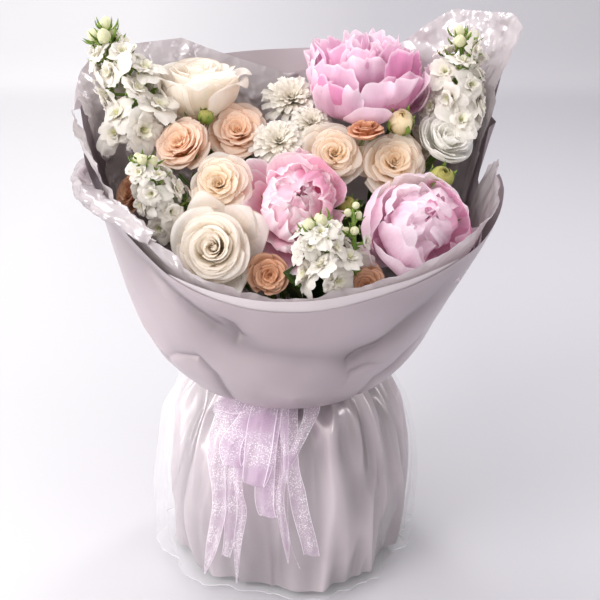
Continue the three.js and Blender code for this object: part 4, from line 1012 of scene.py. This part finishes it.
degrees, t, top, points, way = wrap_grid(-8, 188, BACK_FILM_TOP, (1.6, 5), 220, 110)
relief = 1.2 * noise(points / 50, 51) + 1.2 * gathers(degrees, t, 26, 0.5, 52)
add_sheet("back_wrap", points + way * relief[..., None], FILM, "pearl_film", ["back_film"])

degrees, t, top, points, way = wrap_grid(-4, 184, BACK_TISSUE_TOP, (3.2, 10), 360, 190)
relief = 4.2 * crumple(points, 32, 61, 0.62) * smooth(t, 0.1, 0.5) + 1.2 * noise(points / 50, 62)
relief += 4.0 * crumple(points, 22, 63) * smooth(t, top - 0.12, top)
film_top = edge_at(degrees, BACK_FILM_TOP)
# The tissue stays inside the film up to the film's edge.
relief = np.minimum(np.where(relief > 0, 0.5 * relief, relief), 0.2 + 9 * smooth(t, film_top, film_top + 0.05))
add_sheet("back_lining", points + way * relief[..., None], TISSUE, "tissue", ["back_tissue"])


def roll(name, path, radius, spread, material, slot, seed, crushed):
    """A rolled edge that follows (degrees, share of the way up, how far out) on the wrap."""
    s = np.linspace(0, 1, 110)
    degrees, t, out = spline(path, s).T
    way = outward(wrap_point, np.radians(degrees), t)
    middle = off_wrap(degrees, t, out)
    side = unit(np.cross(way, unit(np.gradient(middle, axis=0))))
    swell = 0.4 + 0.6 * np.sin(math.pi * (0.06 + 0.88 * s)) ** 0.7
    turn = np.radians(np.linspace(*spread, 44))[None, :, None]
    r = radius * swell[:, None, None] * (1 - 0.0016 * np.degrees(np.abs(turn)))
    r = r * (1 + 0.05 * crushed * np.sin(3.2 * turn + 9 * s[:, None, None]))
    points = middle[:, None] + r * (way[:, None] * np.cos(turn) + side[:, None] * np.sin(turn))
    points = points + way[:, None] * (crushed * crumple(points, 16, seed))[..., None]
    add_sheet(name, points, material, slot)


LOBE_PATH = [
    (166, 0.765, 1), (178, 0.762, 4), (190, 0.758, 6), (201, 0.77, 5), (211, 0.79, 1), (221, 0.81, -4),
    (233, 0.83, -9),
]
ROLL_PATH = [(167, 0.865, 1), (169, 0.835, 2), (168.5, 0.8, 2), (166.5, 0.765, 1), (166, 0.72, 0)]
roll("side_lobe", LOBE_PATH, 10.5, (-120, 140), TISSUE, "tissue", 81, 3.4)
roll("side_roll", ROLL_PATH, 4.6, (-150, 150), FILM, "pearl_film", 82, 0.3)

v, u = steps(0, 1, 30), np.linspace(0, 1, 22)[None, :]
flap_top = spline([(151, 0.925), (158, 0.912), (166, 0.893), (174.5, 0.868)], v[:, 0])[:, None]
flap_foot = spline([(150, 0.85), (158, 0.856), (167, 0.862), (174.5, 0.867)], v[:, 0])[:, None]
degrees, t = np.moveaxis(flap_top + (flap_foot - flap_top) * u[..., None], -1, 0)
flap = off_wrap(degrees, t, 2.5 + 3 * v + 1.2 * np.sin(4 * v + 5 * u))
add_sheet("side_flap", flap, PALE_FILM, "pearl_film")


def pleats(angle, t, seed, count):
    """Pointed folds that run out from the tie, of different reach and height, up to about 1."""
    rng = np.random.default_rng(seed)
    total = np.zeros(t.shape)
    for k in range(count):
        middle = TAU * (k + 0.7 * rng.random()) / count
        reach, tall, lean = 0.38 + 0.62 * rng.random() ** 1.5, 0.55 + 0.45 * rng.random(), rng.normal(0, 0.7)
        wide = (0.06 + 0.1 * rng.random()) * (0.7 + 1.3 * smooth(t, 0.1, 0.7))
        off = np.angle(np.exp(1j * (angle - middle - lean * (t - 0.15))))
        fold = np.clip(1 - np.abs(off + 0.3 * wide) / wide, 0, 1) * tall * (1 - smooth(t, 0.4 * reach, reach))
        total = np.maximum(total, fold)
    return total


def skirt_grid(out, drawn_in, seed=73, columns=560, rows=130):
    """Points of one sheet of the skirt, from its hem up, and the painted shade for its colour."""
    t = steps(0, 1, rows) + np.zeros(columns)
    angle = np.linspace(0, TAU, columns, endpoint=False) + 0 * t
    points, way = skirt_point(angle, t), -outward(skirt_point, angle, t)
    tie = np.where(t < 0.15, 0.35 * zigzag(14 * angle / TAU), 0)
    folds = 13.0 * pleats(angle, t, 75, 17) * smooth(t, 0.13, 0.2)
    sunk = 4.5 * smooth(t, 0.14, 0.26)
    spot = vectors(3.2 * np.cos(angle), 3.2 * np.sin(angle), 2.6 * t)
    moved = bent(spot, 0.3, 1.6 * spot, seed)
    facets = 9.0 * creases(moved, seed, 0.04) + 2.6 * creases(2.1 * moved, seed + 9, 0.05)
    facets = facets * smooth(t, 0.14, 0.3)
    hem = 3.2 * np.sin(9 * angle + 2 * np.sin(3 * angle)) * smooth(t, 0.62, 1)
    # The folds are lower under the ribbons, in front and to the left of it.
    degrees = np.mod(np.degrees(angle), 360)
    front = np.mod(degrees + 90 + 180, 360) - 180
    front = np.where(front > 0, front + 14, -front)
    calm = 1 - 0.25 * (1 - smooth(front, 20, 40))
    # Painted shade: darker down between the folds and towards the hem, lighter where the folds stand out.
    ridges = (folds + facets - 3) / 7 - 0.75 * smooth(t, 0.5, 1)
    highest = 7.5 + 7 * smooth(front, 32, 50)
    relief = np.maximum(tie + calm * (1.15 * folds + facets) - sunk + hem, -14.0)
    relief = np.where(relief > 0, highest * np.tanh(relief / highest), relief)
    relief = relief + out - drawn_in * smooth(t, 0.55, 1)
    if out > 0:
        relief += 9 * np.exp(-(((degrees - 196) / 34) ** 2)) * smooth(t, 0.42, 0.7)
    return (points + way * relief[..., None])[::-1], ridges[::-1]


points, ridges = skirt_grid(-1.0, 7)
add_sheet("skirt_wrap", points, SKIRT_FILM, "pearl_film", ["film_skirt"], True, ridges)
# The clear film is painted cloudy white at the left of the front, above its hem: a painted highlight on the side
# that its light comes from.
points, _ = skirt_grid(2.4, -1.5)
degrees = np.linspace(0, 360, points.shape[1], endpoint=False)[None, :]
painted_white_highlight = np.exp(-(((degrees - 208) / 34) ** 2)) * smooth(steps(1, 0, points.shape[0]), 0.14, 0.3)
add_sheet("clear_wrap", points, CLEAR, "clear_film", ["clear_skirt"], True, painted_white_highlight)

# ---- Tie and ribbon ----
TIE_HEIGHT = 229.3
TWINE_TURNS, TWINE_RADIUS, TWINE_RISE = 4.4, 1.05, 0.33
turns = np.linspace(0, TAU * TWINE_TURNS, 360)
coil = polar(16.0, turns, TIE_HEIGHT + turns * TWINE_RISE)[:, None]
turn = np.linspace(0, TAU, 8, endpoint=False)[None, :, None]
across = polar(1, turns, 0)[:, None] * np.cos(turn) + np.array([0.0, 0.0, 1.0]) * np.sin(turn)
add_sheet("tie_coils", coil + TWINE_RADIUS * across, TWINE, "twine", ["binding_twine"], True)

angle, v = np.linspace(0, TAU, 180, endpoint=False)[None, :], steps(0, 1, 12)
pulled = 21.2 + 0.35 * np.sin(angle * 23) + 0.3 * np.sin(v * 20 + angle * 3)
add_sheet("ribbon_turn", polar(pulled, angle, 233.2 + 6.2 * v), ORGANZA, "ribbon", ["ribbon_band"], True)

KNOT_MIDDLE = np.array([0, -26.7, 235.0])
RIBBON_LIFT = 10.5


def ribbon_strip(route, seed, folds=1.2, depth=0.9):
    """A strip from the knot down the skirt. route is (degrees from the front, share of the way down,
    half width, how far off, slant in degrees)."""
    rng = np.random.default_rng(seed)
    line = [(*KNOT_MIDDLE, 1, 0, 0, 0, -0.6, 0.8, 4)]
    for degrees, t, half, off, slant in route:
        angle, t, turn = np.array(math.radians(degrees - 90)), np.array(float(t)), math.radians(slant)
        way = -outward(skirt_point, angle, t)
        across = np.array([-math.sin(angle), math.cos(angle), 0])
        side = across * math.cos(turn) + np.cross(way, across) * math.sin(turn)
        line.append((*(skirt_point(angle, t) + way * (RIBBON_LIFT + off)), *side, *way, half))
    s = np.linspace(0, 1, 130)
    middle, side, way, half = np.split(spline(line, s)[:, None], [3, 6, 9], -1)
    half = np.maximum(half, 0.3)
    u = np.linspace(-1, 1, 33)[None, :, None]
    s = s[:, None, None]
    phase = rng.random() * 6
    ripple = np.sin(folds * math.pi * u + phase + 2.2 * np.sin(3 * s + phase)) * depth * np.clip(s * 8, 0.3, 1)
    ripple = ripple + 0.7 * np.sin(11 * s + phase) * (1 - u * u) + 0.25 * np.sin(23 * s + 5 * u + phase)
    sway = 0.06 * half * np.sin(17 * s + phase)
    return middle + side * (half * u * 0.98 + sway) + way * (ripple * np.clip(half / 6, 0.2, 1) + 1.0)


STRIPS = {
    "ribbon_tail_left": [(-20, 0.36, 9, 0, 0), (-30, 0.54, 12, 1, 0), (-31, 0.64, 13, 1, 0),
        (-31.5, 0.71, 11, 1, 0), (-29, 0.77, 8, 1, 0), (-28, 0.812, 8, 1, 0), (-31.5, 0.885, 6.5, 1, 0),
        (-36.5, 0.95, 0.6, 1, 0)],
    "ribbon_tail_pale": [(-14, 0.36, 7, 0, 0), (-22, 0.55, 10, 0, 0), (-23, 0.72, 8, 0, 0),
        (-23.5, 0.845, 6, 0, 0), (-25.5, 0.897, 4.5, 0, 0)],
    "ribbon_tail_inner": [(-10, 0.36, 6, 3, 0), (-18, 0.6, 7, 3, 0), (-20.5, 0.718, 5, 3, 0),
        (-19.5, 0.758, 4, 3, 0), (-18, 0.797, 4.5, 3, 0), (-19.5, 0.86, 4, 3, 0), (-21, 0.945, 0.6, 2, 0)],
    "ribbon_tail_right": [(2, 0.5, 5, 1, 0), (1.5, 0.69, 7, 2, 0), (3.5, 0.75, 8, 2, -8),
        (6, 0.812, 8.5, 1, -12), (9, 0.88, 8, 1, -14)],
    "ribbon_strand": [(-3, 0.4, 5, 9, 0), (-1.5, 0.6, 3.6, 10, 0), (-1, 0.69, 3.2, 9, 0),
        (-3, 0.76, 3.6, 8, 0), (-1, 0.833, 3.6, 6, 0), (0, 0.888, 0.5, 4, 0)],
    "ribbon_strand_right": [(10, 0.42, 6, 3, 0), (12.5, 0.54, 8, 4, 10), (7.5, 0.613, 7.5, 5, 20),
        (2.5, 0.67, 6, 4, 25), (0, 0.7, 4, 3, 25)],
    "ribbon_loop_small": [(-10, 0.5, 6, 3, 60), (-22, 0.55, 8, 6, 80), (-33, 0.56, 8, 7, 90),
        (-38.5, 0.573, 5, 5, 90), (-33, 0.585, 7, 3, 95), (-22, 0.58, 6, 2, 80)],
    "ribbon_loop_left": [(-10, 0.42, 8, 4, 0), (-17, 0.56, 12, 7, 10), (-24, 0.65, 12, 8, 15),
        (-23, 0.705, 9, 6, 10), (-22, 0.68, 10, 3, 5), (-14, 0.56, 9, 2, 0)],
    "ribbon_loop_right": [(-8, 0.44, 8, 6, 0), (-10.5, 0.54, 12, 9, 0), (-12, 0.64, 13, 12, -4),
        (-13, 0.715, 11, 11, -6), (-12.5, 0.735, 9, 8, -4), (-11, 0.7, 10, 5, 0), (-7, 0.56, 9, 4, 0)],
    "ribbon_loop_low": [(-6, 0.5, 8, 2, 0), (-9, 0.66, 9, 4, 0), (-9, 0.76, 9, 5, -4),
        (-7.5, 0.8, 8, 3, -6), (-7, 0.76, 8, 1, -4), (-5, 0.6, 6, 0, 0)],
}
THREAD = [(0, 0.7, 0.6, 8, 0), (0.5, 0.833, 0.4, 7, 0), (4.5, 0.9, 0.3, 4, 0)]


# A ribbon that is bunched to less than a centimetre across is at least NARROWEST wide when it is laid flat.
for number, (name, route) in enumerate(STRIPS.items()):
    points = ribbon_strip(route, 200 + number)
    build = Build()
    build.grid(points)
    if name == "ribbon_strand":
        build.grid(ribbon_strip(THREAD, 230)[20:])
    strip = build.piece(name, [ORGANZA], "ribbon", ["ribbon_bow"] if number == 0 else [])
    length = np.linalg.norm(np.diff(points[:, 16], axis=0), axis=-1).sum() * MM


# ---- Room, light and camera, in metres ----
def stage_material():
    """A pale floor with painted light: its colour is a little lighter towards the left, where its light comes
    from.
    """
    s = Shader("floor_painted_lighter_left")
    spot = s.spot()
    across = s.math("MULTIPLY_ADD", s.split(spot)[0], 1.0, 0.5)
    value = s.math("MULTIPLY_ADD", s.noise(spot, 3.0, 2.0), 0.06, across)
    return s.finish(s.ramp(value, [(0.0, 196, 195, 198), (0.8, 174, 172, 178)]), {"Roughness": 0.6})


SWEEP = [(-3, 0), (1.4, 0), (2.2, 0.12), (2.7, 0.6), (2.9, 1.6), (2.9, 4.0)]
yz = spline(SWEEP, steps(0, 1, 40))
backdrop = Build()
backdrop.grid(vectors(4.0 * np.linspace(-1, 1, 3), yz[..., 0], yz[..., 1]))
mesh = bpy.data.meshes.new("backdrop")
mesh.from_pydata(backdrop.points[0].tolist(), [], backdrop.faces[0].tolist())
mesh.shade_smooth()
mesh.materials.append(stage_material())
floor = show("backdrop", mesh)

# name: place, what it points at, diameter, watts, colour
LIGHTS = {
    "key": ((-1.1, -0.9, 1.5), (0, 0, 0.35), 0.7, 15, (1, 0.985, 0.97)),
    "fill": ((1.5, -1.1, 0.9), (0, 0, 0.3), 0.8, 8, (1, 1, 1)),
    "strip": ((-1.05, -0.5, 0.22), (0, 0, 0.15), 0.25, 3.4, (1, 1, 1)),
    "rim": ((0.9, 0.9, 1.5), (0, 0, 0.35), 0.5, 10, (1, 1, 1)),
    "top": ((-0.5, 0.6, 1.9), (0, 0, 0.3), 0.7, 10, (1, 1, 1)),
    "wash": ((-0.9, 1.5, 1.7), (-0.6, 2.3, 0.1), 0.6, 11, (1, 1, 1)),
}
for name, (place, target, size, power, colour) in LIGHTS.items():
    data = bpy.data.lights.new(name, "AREA")
    data.shape, data.size, data.energy, data.color = "DISK", size, power, colour
    lamp = show(name, data)
    lamp.location = place
    way = np.subtract(place, target)
    lamp.rotation_euler = (math.acos(way[2] / np.linalg.norm(way)), 0, math.atan2(way[1], way[0]) + math.pi / 2)

# The studio's own light is brightest high on the left in front, like a very large softbox.
GLOW_FROM, GLOW, AMBIENT = (-0.6, -0.38, 0.7), 1.8, 0.4
sky = Shader("studio", bpy.data.worlds)
towards = {0: sky.node("TexCoord", output=0), 1: GLOW_FROM}
towards = sky.node("VectorMath", towards, output=1, operation="DOT_PRODUCT")
glow = sky.math("POWER", sky.math("MAXIMUM", towards, 0.0), 2.0)
light = {"Color": (1.0, 0.98, 0.975, 1), "Strength": sky.math("MULTIPLY_ADD", glow, GLOW, AMBIENT)}
sky.node("OutputWorld", {"Surface": sky.node("Background", light)})
bpy.context.scene.world = sky.owner

camera_data = bpy.data.cameras.new("camera")
camera_data.lens, camera_data.sensor_width = 54, 36
camera = show("camera", camera_data)
camera.location = (0.011, -0.780, 0.634)
camera.rotation_euler = (math.radians(65), 0, 0)
bpy.context.scene.camera = camera
bpy.context.scene.view_settings.view_transform = "Standard"
